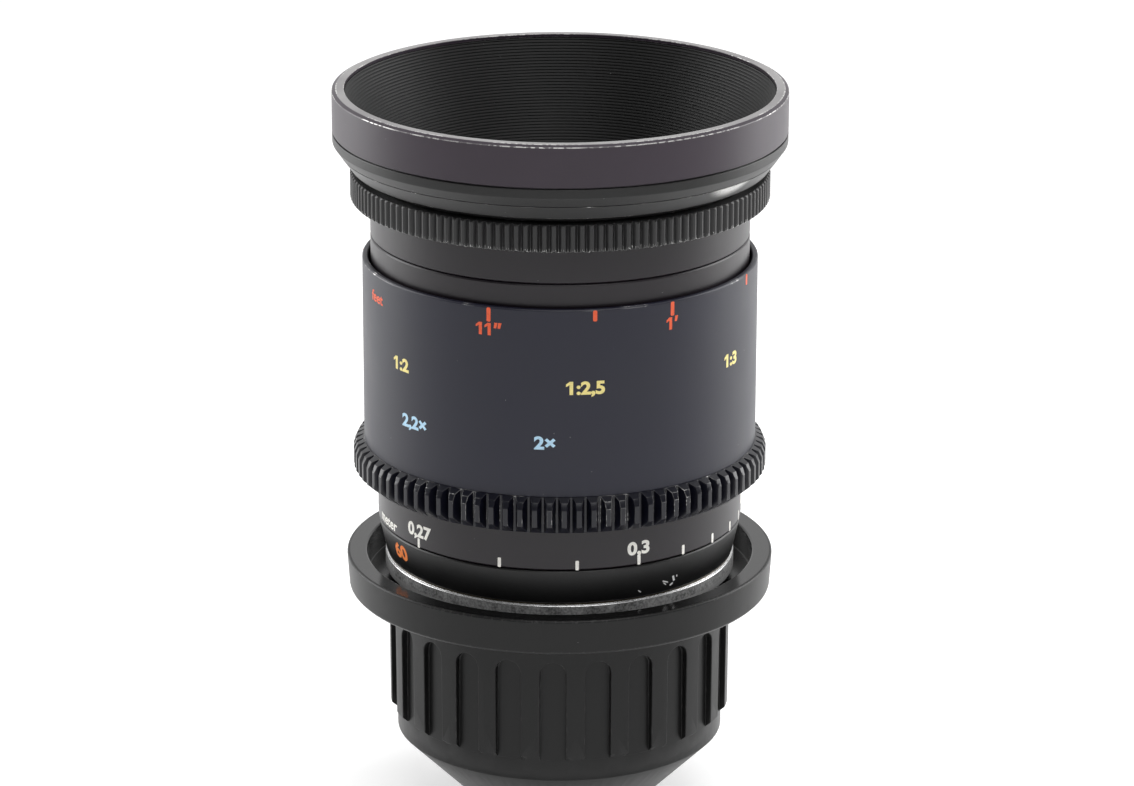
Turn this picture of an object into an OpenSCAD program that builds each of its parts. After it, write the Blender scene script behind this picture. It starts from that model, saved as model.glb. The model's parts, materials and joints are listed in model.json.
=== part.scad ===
// A macro lens for film cameras, standing on its rear cap with the front up.
// Millimetres. Z runs along the optical axis and is zero at the foot of the cap.

/* [Rear cap] */
// Radius of the foot that the cap stands on
cap_foot_r = 17.8; // [15:0.1:22]
// Height of the cone above the foot
cap_cone_h = 17.5; // [15:0.1:20]
// Wall of the plain band above the cone
cap_band_wall = 1.9; // [1.5:0.1:2.4]
// Height of the plain band, up to the lower ends of the ribs
cap_band_h = 5.2; // [3:0.1:7]
// Height from the lower ends of the ribs to the underside of the cup
cap_grip_h = 27.0; // [25:0.1:30]
// How far the grip ribs stand out from the plain band
cap_rib_step = 1.5; // [1.2:0.1:2]
// Depth of the finger recesses between the ribs
cap_recess_depth = 1.3; // [0.8:0.1:1.6]
// Width of one finger recess
cap_recess_w = 5.5; // [4:0.1:6]
// Height of plain collar left above the recesses
cap_collar_h = 5.0; // [4:0.1:8]
// Number of grip ribs round the cap
cap_ribs = 24; // [12:1:30]
// Height of the cup that surrounds the mount
cup_h = 7.75; // [6.5:0.05:9]
// Wall of the cup at its top
cup_wall = 4.35; // [3.5:0.05:6]
// How much the cup narrows towards its underside
cup_draft = 0.45; // [0:0.05:0.8]
// Width of the well between the bright collar and the cup
cup_well_w = 3.9; // [3:0.1:5]
// Thickness of the floor of the well, where the lens sits
cup_floor_t = 1.9; // [1.5:0.1:2.5]
// Width of the ledge inside the cap that the ears of the mount sit on
cap_ledge_w = 2.25; // [1.8:0.05:2.8]
// Wall of the cap round the foot and the cone
cap_wall = 2.6; // [2:0.1:4]

/* [Camera mount] */
// How far the ears stand out from the tube that enters the camera
ear_reach_w = 8.45; // [8:0.05:9]
// Length of the tube below the seating face
tube_l = 28.0; // [24:0.5:31]
// Wall of the tube round the light path
tube_wall = 2.1; // [1.6:0.1:2.6]
// Thickness of the ears
ear_t = 2.6; // [2:0.1:3]
// Number of notches between the ears
ear_notches = 4; // [3:1:4]
// Half the angle of one notch
ear_notch_angle = 12; // [8:1:16]
// Depth of one notch
ear_notch_depth = 3.0; // [2:0.1:3.4]
// How far the bright collar stands out from the ears
collar_step = 1.95; // [1.5:0.05:2.4]
// How far the bright collar stands out from the fixed barrel
collar_lip = 0.2; // [0.1:0.05:0.4]
// Height of the bright collar
collar_h = 3.7; // [3:0.1:5]
// Chamfer on the upper edge of the collar
collar_chamfer = 0.35; // [0.1:0.05:0.6]
// How far the spigot that centres the barrel stands out from the tube
spigot_step = 1.4; // [1:0.1:1.8]
// Height of that spigot
spigot_h = 1.9; // [1:0.1:2.4]
// Thickness of the shim that sets the focus
shim_t = 0.2; // [0.1:0.05:0.4]
// Number of screws that hold the mount
mount_screws_n = 4; // [4:4:4]
// Radius of a mount screw's shank
mount_screw_r = 1.2; // [1:0.05:1.4]

/* [Fixed barrel] */
// Height of the fixed barrel that shows below the scale
fixed_h = 7.8; // [6.5:0.1:9]
// How much the fixed barrel narrows from the seam down to the mount, in radius
fixed_taper_w = 1.55; // [1.2:0.05:2]
// How far the scale ring stands out from the fixed barrel at the seam
scale_lip = 0.1; // [0.05:0.05:0.3]
// Thickness of the disc that sits on the mount
fixed_disc_t = 2.5; // [2:0.1:3]
// Height of the bearing tube inside the scale ring
bearing_h = 8.4; // [8:0.1:9]
// Wall of the bearing tube
bearing_wall = 1.0; // [0.8:0.05:1.1]
// Number of straight guide keys
keys_n = 2; // [2:2:2]
// Width of a guide key
key_w = 4.0; // [3:0.1:5]
// Length of guide key still inside the sliding helicoid at the closest focus
key_hold = 7.5; // [5:0.1:8]
// Height of the foot of a guide key
key_foot_h = 3.0; // [2:0.1:4]
// Depth of a guide key, along the radius
key_t = 2.8; // [2.4:0.1:3]

/* [Focus ring] */
// Height of the metre scale ring
scale_h = 9.5; // [9.3:0.1:12]
// Wall of the metre scale ring
scale_wall = 0.9; // [0.7:0.05:1.2]
// How far the teeth of the follow focus gear stand out from the sleeve
gear_reach_w = 2.3; // [2:0.05:3]
// Number of teeth of the follow focus gear
gear_teeth = 90; // [80:1:92]
// Height of the gear
gear_h = 7.8; // [6:0.1:9]
// Height of the bevel on top of the teeth
gear_bevel_h = 2.2; // [1:0.1:2.5]
// Height of the bevel under the teeth
gear_foot_bevel_h = 1.9; // [0.5:0.1:2.2]
// Clearance between the focus sleeve and the barrel that slides inside it
sleeve_room = 0.45; // [0.3:0.05:0.6]
// Length of the focus sleeve above the gear
sleeve_l = 40.2; // [38:0.05:41]
// Wall of the focus sleeve
sleeve_wall = 1.3; // [1.1:0.05:1.35]
// Height to which the driving helicoid reaches inside the sleeve, above the scale ring
driver_l = 36.4; // [34:0.1:36.6]
// Wall of the driving helicoid
driver_wall = 2.45; // [2.2:0.05:2.6]
// Clearance between the driving helicoid and the barrel that slides over it
driver_room = 0.6; // [0.4:0.05:0.8]
// Number of screws that join the gear and the driving helicoid
gear_screws_n = 6; // [3:1:8]

/* [Moving barrel] */
// Radius of the moving barrel
barrel_r = 39.95; // [39.7:0.05:40.1]
// Wall of the moving barrel
barrel_wall = 1.4; // [1.2:0.05:1.5]
// Length of the moving barrel, up to its joint line
barrel_l = 36.2; // [34:0.1:36.4]
// Length of moving barrel that shows above the focus sleeve, up to the joint line
barrel_shown = 4.8; // [4:0.1:6]
// How far the upper barrel reaches into the front ring, above its neck
upper_reach_h = 0.75; // [0.5:0.05:1.5]
// Wall of the sliding helicoid
heli_wall = 1.6; // [1.4:0.05:1.8]
// Length of the sliding helicoid
heli_l = 55.2; // [54:0.1:55.6]
// Thickness of the flange at its top
heli_flange_t = 3.2; // [2.5:0.1:3.2]

/* [Iris ring] */
// How far the ribs of the iris ring stand out from the barrel
iris_wall = 4.15; // [3.6:0.05:4.5]
// Height of the iris ring
iris_h = 5.8; // [5:0.1:6]
// Distance from the barrel's joint line to the underside of the iris ring
iris_lift = 7.85; // [7.85:0.05:8.2]
// Number of ribs on the iris ring
iris_ribs = 144; // [100:1:150]
// Depth of the ribs
iris_rib_depth = 0.75; // [0.5:0.05:0.9]
// Turn of the iris ring from open to closed, in degrees
iris_turn = 56; // [50:1:58]

/* [Front] */
// Height of the dark neck above the iris ring
neck_h = 1.3; // [1:0.05:2]
// How far that neck stands out from the barrel
neck_step = 1.55; // [1.2:0.05:2]
// How far the front ring stands out from its neck
front_step = 2.5; // [2:0.05:3]
// How much the front ring widens up to the joint with the hood, in radius
front_flare_w = 2.2; // [1.8:0.05:2.6]
// Height of the tapered part of the front ring
front_taper_h = 3.0; // [2.5:0.1:3.2]
// How much the foot of the hood widens up to its full size, in radius
hood_flare_w = 1.5; // [1:0.05:2]
// Height of the hood, from the joint to the rim
hood_h = 13.15; // [12:0.05:14]
// Height of the tapered foot of the hood
hood_taper_h = 2.1; // [1.8:0.05:2.6]
// Height of the groove above the foot of the hood
hood_groove_z = 4.0; // [3:0.1:6]
// Width of the groove
hood_groove_w = 0.35; // [0.2:0.05:0.6]
// Depth of the groove
hood_groove_depth = 0.45; // [0.2:0.05:0.6]
// Width of the rim, from its mouth to its outer side
hood_rim_w = 2.6; // [2:0.05:3.2]
// Width of the bevel outside the rim
hood_bevel_w = 0.9; // [0.5:0.05:1.2]
// Height of that bevel
hood_bevel_h = 0.45; // [0.2:0.05:0.8]
// Thickness of the lip that covers the baffle
hood_lip_t = 0.8; // [0.6:0.05:1]
// Wall of the baffle
baffle_wall = 0.8; // [0.6:0.05:0.8]
// How far the lower end of the baffle stands clear of the front element
baffle_throat_w = 1.2; // [0.8:0.1:1.6]
// Number of ridges inside the baffle
baffle_ridges = 45; // [20:1:90]
// Depth of the ridges
baffle_ridge_depth = 0.3; // [0.15:0.05:0.4]

/* [Optical block] */
// Room between the lens head and the sliding helicoid
head_room = 6.3; // [6:0.1:6.6]
// Wall of the lens head
head_wall = 1.5; // [1.3:0.05:1.6]
// Length of the lens head, from its lower end to its flange
head_l = 39.0; // [38:0.1:39.2]
// Thickness of the flange of the lens head
head_flange_t = 3.0; // [2.5:0.1:3.4]
// Number of set screws that hold the lens head
head_screws_n = 3; // [3:1:3]
// Room between the rear cell and the tube of the mount
rear_cell_room = 2.9; // [2:0.1:4]
// Wall of the rear cell
rear_cell_wall = 7.0; // [6:0.1:8]
// Thickness of the flange of the rear cell
rear_flange_t = 2.4; // [2:0.1:2.4]
// Wall of the front cell, up to the bore of the lens head
front_cell_wall = 9.0; // [8:0.1:10]
// Thickness of the front element in the middle
front_glass_t = 5.6; // [5:0.1:6]
// Step from the front element down to the front doublet, in radius
front_pair_step = 2.0; // [1.5:0.1:3]
// Step from the rear element down to the rear doublet, in radius
rear_pair_step = 1.5; // [1:0.1:2.5]
// Height of the dome of the front element
front_dome_h = 4.55; // [3.5:0.05:5]
// Height of the dome of the front doublet
front_pair_dome_h = 3.5; // [2.5:0.05:3.8]
// Height of the dome of the rear doublet
rear_pair_dome_h = 2.8; // [2:0.05:3.2]
// Height of the outer dome of the rear element
rear_dome_h = 3.5; // [2.5:0.05:3.8]
// Height of the weak dome inside the rear element
rear_weak_dome_h = 1.25; // [0.8:0.05:1.6]
// Width of the flat rim round the hollows that face the iris
bowl_rim_w = 5.0; // [4:0.1:6]

/* [Iris] */
// Number of iris blades
blades_n = 9; // [7:1:9]
// Distance from the circle of the blade pivots in to the open iris
open_room = 7.3; // [7:0.1:7.6]
// Radius of the smallest opening
closed_r = 1.7; // [1.5:0.1:4]
// Width of a blade
blade_w = 5.5; // [5:0.1:5.6]
// Thickness of a blade
blade_t = 0.2; // [0.15:0.01:0.22]
// Distance between one blade and the next, level to level
blade_pitch = 0.3; // [0.28:0.01:0.34]
// Distance from the bore of the lens head in to the circle of the blade pivots
pivot_room = 7.8; // [7.6:0.1:8]
// Radius of a blade pivot
pivot_r = 0.7; // [0.6:0.05:0.8]
// Radius of a driving pin
pin_r = 0.55; // [0.5:0.05:0.6]
// Angle that one blade spans
blade_span = 112; // [105:1:118]

/* [Focus travel] */
// Travel of the barrel from infinity to the position in which it stands
travel_in_l = 12.0; // [10:0.5:12]
// Room left under the lens head at infinity
infinity_room = 1.2; // [0.8:0.1:1.5]
// Travel from there to the closest focus
travel_out_l = 18.0; // [15:0.5:18]

/* [Hidden] */
$fn = 120;

// Overrun of every cut
cut = 1;
// Clearance between pieces of one body that slip into each other
fit_gap = 0.05;
// Clearance round parts that turn or slide
run_gap = 0.1;
// Gap that shows as a seam between a turning and a fixed ring
seam_gap = 0.2;
// Small break on sharp edges
edge = 0.3;

// Radii inwards and down from the moving barrel
barrel_in = barrel_r - barrel_wall;
driver_r = barrel_in - driver_room;
driver_in = driver_r - driver_wall;
heli_r = driver_in - run_gap;
heli_in = heli_r - heli_wall;
scale_r = driver_r + scale_wall;
fixed_top_r = scale_r - scale_lip;
fixed_bottom_r = fixed_top_r - fixed_taper_w;
collar_r = fixed_bottom_r + collar_lip;
ear_r = collar_r - collar_step;
tube_r = ear_r - ear_reach_w;
tube_bore_r = tube_r - tube_wall;
spigot_r = tube_r + spigot_step;
mount_screw_pcr = (tube_r + ear_r) / 2;

// Radii of the cap, round the mount
cap_bore_r = ear_r - cap_ledge_w;
cap_band_r = cap_bore_r + cap_band_wall;
cap_rib_r = cap_band_r + cap_rib_step;
cup_well_r = collar_r + cup_well_w;
cup_r = cup_well_r + cup_wall;

// Radii outwards from the moving barrel
sleeve_in = barrel_r + sleeve_room;
sleeve_r = sleeve_in + sleeve_wall;
gear_tip_r = sleeve_r + gear_reach_w;
iris_r = barrel_r + iris_wall;
neck_r = barrel_r + neck_step;
front_low_r = neck_r + front_step;
front_top_r = front_low_r + front_flare_w;
hood_r = front_top_r + hood_flare_w;
hood_mouth_r = hood_r - hood_rim_w;

// Radii of the optical block, from the sliding helicoid inwards
head_r = heli_in - head_room;
head_in = head_r - head_wall;
front_glass_r = head_in - front_cell_wall;
front_pair_r = front_glass_r - front_pair_step;
rear_cell_r = tube_bore_r - rear_cell_room;
rear_glass_r = rear_cell_r - rear_cell_wall;
rear_pair_r = rear_glass_r - rear_pair_step;
pivot_pcr = head_in - pivot_room;
open_r = pivot_pcr - open_room;
// Distance from a blade's pivot to its driving pin, as a share of the circle of the pivots
lever_share = 0.357;
lever_l = pivot_pcr * lever_share;

// Heights of the cap
rib_z = cap_cone_h + cap_band_h;
cup_z = rib_z + cap_grip_h;
cup_top = cup_z + cup_h;
seat_z = cup_z + cup_floor_t;
recess_top = cup_z - cap_collar_h;
recess_floor_r = cap_rib_r - cap_recess_depth;
cup_fillet = 2.4;
cup_round = 0.6;
foot_floor = 2.6;
// Azimuth of the recess that faces the front, just left of the middle
recess_azimuth = -92;

// Heights of the mount and the fixed barrel
collar_z = seat_z + ear_t;
collar_top = collar_z + collar_h;
fixed_z = collar_top + shim_t;
disc_top = fixed_z + fixed_disc_t;
seam_z = fixed_z + fixed_h;
bearing_top = seam_z + bearing_h;
bearing_in = heli_r + seam_gap;
bearing_out = bearing_in + bearing_wall;
screw_head_r = 2.2;
screw_head_h = 1.4;
key_in = heli_r - heli_wall / 2 + run_gap + fit_gap - key_t;
key_foot_in = head_r + seam_gap * 6;
key_screw_r = 0.8;
key_screw_head_r = 1.3;
key_screw_head_h = 1.0;
key_azimuth = 45;
key_screw_pcr = (key_foot_in + key_in) / 2;

// Heights and radii of the focus group
scale_z = seam_z + seam_gap;
gear_z = seam_z + scale_h;
gear_top = gear_z + gear_h;
sleeve_top = gear_top + sleeve_l;
sleeve_foot_r = sleeve_in + (sleeve_r - sleeve_in) / 2;
gear_lip_t = 1.2;
driver_flange_t = 2.3;
driver_top = gear_z + driver_l;
clip_t = 1.2;
clip_r = bearing_out + 0.6 * bearing_wall;
gear_module = gear_tip_r / (gear_teeth / 2 + 1);
gear_root_r = gear_tip_r - 2.2 * gear_module;
// Half widths of a tooth at its foot and at its tip, as shares of the module
tooth_foot_share = 1.25;
tooth_tip_share = 0.55;
// Where the bevel on top of the teeth bends, as shares of its height and of the tooth
bevel_bend_shares = [0.35, 0.7];
// Azimuth of the tooth nearest the front
tooth_azimuth = -88.64;
gear_screw_r = 0.6;
gear_screw_pcr = (driver_r + sleeve_in) / 2;

// Heights of the moving barrel
joint_z = sleeve_top + barrel_shown;
barrel_z = joint_z - barrel_l;
joint_gap = 0.1;
heli_z = joint_z - heli_l;
key_l = heli_z + travel_out_l + key_hold - disc_top - key_foot_h;
iris_z = joint_z + iris_lift;
iris_top = iris_z + iris_h;
iris_chamfer = 0.4;
// The outline of one rib, as shares of its pitch and of its depth
iris_rib_shares = [[0, 0], [0.16, 0.85], [0.38, 1], [0.6, 0.85], [0.76, 0]];

// Heights of the front
neck_z = iris_top + joint_gap;
taper_z = neck_z + neck_h;
upper_top = taper_z + upper_reach_h;
front_top = taper_z + front_taper_h;
hood_z = front_top + joint_gap / 2;
hood_top = hood_z + hood_h;
baffle_top = hood_top - hood_lip_t - fit_gap;
baffle_top_r = hood_mouth_r - edge / 2;
baffle_low_r = front_glass_r + baffle_throat_w;

// Heights of the optical block
head_z = disc_top + travel_in_l + infinity_room;
flange_z = head_z + head_l;
flange_top = flange_z + head_flange_t;
cell_fit_r = head_in - fit_gap;
iris_base_z = head_z + rear_flange_t + joint_gap;
iris_base_t = 1.0;
blades_z = iris_base_z + iris_base_t + joint_gap * 2;
rim_top = blades_z + blades_n * blade_pitch + joint_gap * 5;
pin_room = 1.1;
rim_in = pivot_pcr + 5.4 * pin_room;
cam_z = rim_top + joint_gap / 2;
cam_t = 1.0;
cam_rim_h = 3.2;
cam_rim_t = 1.6;
cam_top = cam_z + cam_rim_h;
cam_r = head_in - run_gap;
front_cell_z = cam_top + 3 * joint_gap;
cam_pin_r = 0.8;
cam_pin_z = cam_z + cam_rim_h - cam_pin_r - edge * 2;
head_screw_azimuth = -90;
head_screw_r = 1.0;
head_screw_in = heli_in - 3 * head_screw_r;

// The linkage from the iris ring down to the iris
arm_azimuth = 62;
arm_half_angle = 5.5;
arm_out = heli_in - 4 * run_gap;
arm_t = 1.3;
arm_z = cam_pin_z - 3 * cam_pin_r;
arm_pad_z = iris_z + iris_h / 2 - iris_h / 3;
arm_pad_top = iris_z + iris_h / 2 + iris_h / 3;
arm_pad_out = barrel_in - 2 * run_gap;
arm_pad_t = 1.1;
arm_bend_z = joint_z + joint_gap + edge;
iris_screw_r = 0.9;
iris_screw_z = iris_z + iris_h / 2;
slot_room = 0.35;

// The iris: a blade turns about its pivot until its inner edge reaches the smallest opening
blade_turn = 2 * asin((open_r - closed_r) / (2 * pivot_pcr));
blade_ratio = blade_turn / iris_turn;
echo(blade_turn = blade_turn, blade_ratio = blade_ratio);

// Glass: the places of the elements, from the iris outwards
function curve_r(r, dome_h) = (r * r + dome_h * dome_h) / (2 * dome_h);
front_bowl_h = 3.4;
front_flint_t = 4.4;
front_crown_t = 4.2;
front_recess = 1.6;
rear_bowl_h = 3.2;
rear_flint_t = 3.6;
rear_crown_t = 3.6;
rear_glass_t = 6.0;
rear_recess = 2.2;
front_air_h = 1.6;
rear_air_h = 1.0;
hollow_rim_w = 0.35;
ledge = 0.9;
front_rim_t = 2.6;
front_pair_z = front_cell_z + front_bowl_h;
front_pair_joint = front_pair_z + front_flint_t;
front_pair_top = front_pair_joint + front_crown_t;
front_glass_z = front_pair_top + front_air_h;
front_glass_top = front_glass_z + front_glass_t;
front_cell_top = front_glass_top + front_recess;
rear_pair_top = iris_base_z - rear_bowl_h;
rear_pair_joint = rear_pair_top - rear_flint_t;
rear_pair_z = rear_pair_joint - rear_crown_t;
rear_glass_top = rear_pair_z - rear_air_h;
rear_glass_z = rear_glass_top - rear_glass_t;
rear_cell_z = rear_glass_z - rear_recess;
front_rim_z = front_glass_top - front_dome_h;
front_seat_z = front_rim_z - front_rim_t;
rear_step_z = rear_pair_z + rear_pair_dome_h;
front_flint_z = front_cell_z + ledge;
rear_flint_top = head_z + rear_flange_t - ledge;

// The baffle stands on the front cell and widens up to the rim of the hood
baffle_low = front_cell_top + joint_gap / 2;
baffle_depth = baffle_top - baffle_low;
function baffle_in(z) = baffle_top_r - (baffle_top - z) * (baffle_top_r - baffle_low_r) / baffle_depth;
function baffle_out(z) = baffle_in(z) + baffle_wall;

BLACK = [0.09, 0.09, 0.10];
STEEL = [0.72, 0.72, 0.73];
PLASTIC = [0.10, 0.10, 0.105];
BRASS = [0.70, 0.58, 0.33];
GLASS = [0.55, 0.68, 0.80, 0.45];

// A ring with a plain wall between two heights
module tube(outer, inner, low, high) {
    translate([0, 0, low])
        difference() {
            cylinder(r = outer, h = high - low);
            translate([0, 0, -cut]) cylinder(r = inner, h = high - low + 2 * cut);
        }
}

// A wedge of a full circle between two angles, used to keep or cut a sector
module sector(angle_a, angle_b, r, low, high) {
    step = (angle_b - angle_a) / ceil((angle_b - angle_a) / 30);
    translate([0, 0, low])
        linear_extrude(high - low)
            polygon(concat([[0, 0]],
                [for (a = [angle_a : step : angle_b + step / 9]) [r * cos(a), r * sin(a)] / cos(step / 2)]));
}

// A curved slot through a ring for a pin that swings from one angle to another
module arc_slot(angle_a, angle_b, r_in, r_out, middle, half_h) {
    room = half_h / r_in * 180 / PI;
    intersection() {
        tube(r_out, r_in, middle - half_h, middle + half_h);
        sector(angle_a - room, angle_b + room, r_out, middle - half_h - cut, middle + half_h + cut);
    }
}

// The rear cap: one turned form with finger recesses cut round its grip
module rear_cap() {
    color(PLASTIC)
    difference() {
        rotate_extrude() cap_outline();
        for (i = [0 : cap_ribs - 1])
            rotate([0, 0, recess_azimuth + i * 360 / cap_ribs]) finger_recess();
        cap_hollow();
    }
}

// Foot, cone, plain band, rib ends, collar, the fillet under the cup and the cup itself
module cap_outline() {
    plain_r = cap_rib_r + edge / 2;
    polygon(concat([[0, 0], [cap_foot_r - edge, 0], [cap_foot_r, edge], [cap_band_r, cap_cone_h],
        [cap_band_r, rib_z - cap_recess_depth / 2], [cap_rib_r, rib_z + cap_recess_depth / 2]],
        [for (a = [0 : 15 : 90])
            [plain_r + cup_fillet * (1 - cos(a)), cup_z - cup_fillet * (1 - sin(a))]],
        [[cup_r - cup_draft - cup_round, cup_z], [cup_r - cup_draft, cup_z + cup_round],
            [cup_r, cup_top - edge], [cup_r - edge, cup_top], [0, cup_top]]));
}

// One finger recess: open at the bottom, with a round top
module finger_recess() {
    half = cap_recess_w / 2;
    difference() {
        translate([recess_floor_r - cut, 0, 0]) rotate([90, 0, 90])
            linear_extrude(cap_recess_depth + 2 * cut)
                polygon(concat([[-half, rib_z - 2 * cut], [half, rib_z - 2 * cut]],
                    [for (a = [0 : 15 : 180]) [half * cos(a), recess_top - half * (1 - sin(a))]]));
        cylinder(r = recess_floor_r, h = cup_z);
    }
}

module cap_hollow() {
    rotate_extrude()
        polygon([[0, foot_floor], [cap_foot_r - cap_wall, foot_floor],
            [cap_bore_r, cap_cone_h + cap_wall / 2], [cap_bore_r, seat_z],
            [cup_well_r, seat_z], [cup_well_r, cup_top - edge], [cup_well_r + edge, cup_top],
            [cup_well_r + edge, cup_top + cut], [0, cup_top + cut]]);
}

// The steel mount: a tube, four bayonet ears and a bright collar in one piece
module lens_mount() {
    color(STEEL)
    difference() {
        rotate_extrude()
            polygon([[tube_bore_r, seat_z - tube_l], [tube_r - 2 * edge, seat_z - tube_l],
                [tube_r, seat_z - tube_l + 2 * edge], [tube_r, seat_z], [ear_r - edge, seat_z],
                [ear_r, seat_z + edge], [ear_r, collar_z], [collar_r - edge / 2, collar_z],
                [collar_r, collar_z + edge / 2], [collar_r, collar_top - collar_chamfer],
                [collar_r - collar_chamfer, collar_top], [spigot_r, collar_top],
                [spigot_r, collar_top + spigot_h], [tube_bore_r, collar_top + spigot_h]]);
        for (i = [0 : ear_notches - 1])
            rotate([0, 0, 45 + i * 360 / ear_notches])
                intersection() {
                    tube(ear_r + cut, ear_r - ear_notch_depth, seat_z - cut, collar_z);
                    sector(-ear_notch_angle, ear_notch_angle, ear_r + cut, seat_z - cut, collar_z + cut);
                }
        for (i = [0 : mount_screws_n - 1])
            rotate([0, 0, i * 360 / mount_screws_n]) translate([mount_screw_pcr, 0, 0])
                screw_hole(mount_screw_r, seat_z, collar_top, screw_head_r, screw_head_h);
    }
}

// A clearance hole with a countersink at its lower end
module screw_hole(r, low, high, head_r, head_h) {
    translate([0, 0, low - cut]) cylinder(r = r + fit_gap, h = high - low + 2 * cut);
    translate([0, 0, low]) cylinder(r1 = head_r + fit_gap, r2 = r + fit_gap, h = head_h);
    translate([0, 0, low - cut]) cylinder(r = head_r + fit_gap, h = cut);
}

// A countersunk screw whose head faces down
module sunk_screw(r, low, high, head_r, head_h) {
    translate([0, 0, low + fit_gap])
        difference() {
            union() {
                cylinder(r1 = head_r, r2 = r, h = head_h);
                cylinder(r = r, h = high - low - 2 * fit_gap);
            }
            translate([-head_r / 6, -head_r, -cut])
                cube([head_r / 3, 2 * head_r, cut + head_h / 3]);
        }
}

module mount_screws() {
    color(STEEL)
    for (i = [0 : mount_screws_n - 1])
        rotate([0, 0, i * 360 / mount_screws_n]) translate([mount_screw_pcr, 0, 0])
            sunk_screw(mount_screw_r, seat_z, disc_top - edge, screw_head_r, screw_head_h);
}

module focus_shim() {
    color(BRASS)
    difference() {
        tube(fixed_bottom_r - edge, spigot_r + fit_gap, collar_top, fixed_z);
        for (i = [0 : mount_screws_n - 1])
            rotate([0, 0, i * 360 / mount_screws_n]) translate([mount_screw_pcr, 0, collar_top - cut])
                cylinder(r = mount_screw_r + fit_gap, h = shim_t + 2 * cut);
    }
}

// The fixed barrel: a disc on the mount, a tapered skirt and the bearing tube above it
module fixed_barrel() {
    color(BLACK)
    difference() {
        rotate_extrude()
            polygon([[spigot_r + fit_gap, fixed_z], [fixed_bottom_r - edge, fixed_z],
                [fixed_bottom_r, fixed_z + edge], [fixed_top_r, seam_z - edge], [fixed_top_r - edge, seam_z],
                [bearing_out, seam_z], [bearing_out, bearing_top], [bearing_in, bearing_top],
                [bearing_in, disc_top], [spigot_r + fit_gap, disc_top]]);
        for (i = [0 : mount_screws_n - 1])
            rotate([0, 0, i * 360 / mount_screws_n]) translate([mount_screw_pcr, 0, fixed_z - cut])
                cylinder(r = mount_screw_r + fit_gap, h = cut + fixed_disc_t - edge);
        for (i = [0 : keys_n - 1])
            rotate([0, 0, key_azimuth + i * 360 / keys_n]) translate([key_screw_pcr, 0, fixed_z + edge])
                cylinder(r = key_screw_r + fit_gap, h = fixed_disc_t + cut);
    }
}

// Straight keys on the fixed barrel that stop the moving barrel from turning
module guide_keys() {
    color(BRASS)
    for (i = [0 : keys_n - 1])
        rotate([0, 0, key_azimuth + i * 360 / keys_n])
            difference() {
                union() {
                    translate([key_in, -key_w / 2, disc_top]) cube([key_t, key_w, key_l + key_foot_h]);
                    translate([key_foot_in, -key_w / 2, disc_top])
                        cube([key_in + key_t - key_foot_in, key_w, key_foot_h]);
                }
                translate([key_screw_pcr, 0, disc_top - cut])
                    cylinder(r = key_screw_r + fit_gap, h = key_foot_h + 2 * cut);
            }
}

module key_screws() {
    color(STEEL)
    for (i = [0 : keys_n - 1])
        rotate([0, 0, key_azimuth + i * 360 / keys_n]) translate([key_screw_pcr, 0, 0]) {
            translate([0, 0, fixed_z + edge + fit_gap])
                cylinder(r = key_screw_r, h = fixed_disc_t - edge - fit_gap + key_foot_h + key_screw_head_h);
            translate([0, 0, disc_top + key_foot_h])
                cylinder(r = key_screw_head_r, h = key_screw_head_h);
        }
}

module driver_retaining_ring() {
    color(BRASS) tube(clip_r, bearing_in, bearing_top, bearing_top + clip_t);
}

// The driving helicoid: it turns on the bearing tube and carries gear, sleeve and scale
module focus_driver() {
    low = scale_z;
    ledge_z = bearing_top - seam_gap;
    clip_top = bearing_top + clip_t + seam_gap;
    flange_low = gear_z + gear_lip_t;
    flange_r = sleeve_in - fit_gap;
    color(BRASS)
    difference() {
        rotate_extrude()
            polygon([[bearing_out + fit_gap, low], [driver_r, low], [driver_r, flange_low],
                [flange_r, flange_low], [flange_r, flange_low + driver_flange_t],
                [driver_r, flange_low + driver_flange_t], [driver_r, driver_top - edge],
                [driver_r - edge, driver_top], [driver_in, driver_top], [driver_in, clip_top],
                [clip_r + run_gap, clip_top], [clip_r + run_gap, ledge_z], [bearing_out + fit_gap, ledge_z]]);
        for (i = [0 : gear_screws_n - 1])
            rotate([0, 0, i * 360 / gear_screws_n]) translate([gear_screw_pcr, 0, flange_low - cut])
                cylinder(r = gear_screw_r + fit_gap, h = driver_flange_t + 2 * cut);
    }
}

module focus_sleeve() {
    low = gear_z + gear_lip_t + fit_gap;
    color(BLACK)
    rotate_extrude()
        polygon([[sleeve_in, low], [sleeve_foot_r, low], [sleeve_foot_r, gear_top], [sleeve_r, gear_top],
            [sleeve_r, sleeve_top - edge], [sleeve_r - edge, sleeve_top],
            [sleeve_in + edge, sleeve_top], [sleeve_in, sleeve_top - edge]]);
}

// The follow focus gear: a turned ring, bevelled above and below, trimmed to straight teeth
module focus_gear() {
    bore = driver_r + fit_gap;
    seat = sleeve_foot_r + fit_gap;
    color(BLACK)
    difference() {
        intersection() {
            translate([0, 0, gear_z - cut]) linear_extrude(gear_h + 2 * cut) gear_outline();
            rotate_extrude()
                polygon([[bore, gear_z], [gear_root_r - edge / 2, gear_z],
                    [gear_tip_r, gear_z + gear_foot_bevel_h],
                    [gear_tip_r, gear_top - gear_bevel_h],
                    [gear_root_r + (gear_tip_r - gear_root_r) * bevel_bend_shares[1],
                        gear_top - gear_bevel_h * bevel_bend_shares[0]],
                    [gear_root_r - edge / 2, gear_top], [seat, gear_top],
                    [seat, gear_z + gear_lip_t], [bore, gear_z + gear_lip_t]]);
        }
        for (i = [0 : gear_screws_n - 1])
            rotate([0, 0, i * 360 / gear_screws_n]) translate([gear_screw_pcr, 0, gear_z])
                screw_hole(gear_screw_r, 0, gear_lip_t, 2 * gear_screw_r, gear_screw_r);
    }
}

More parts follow.
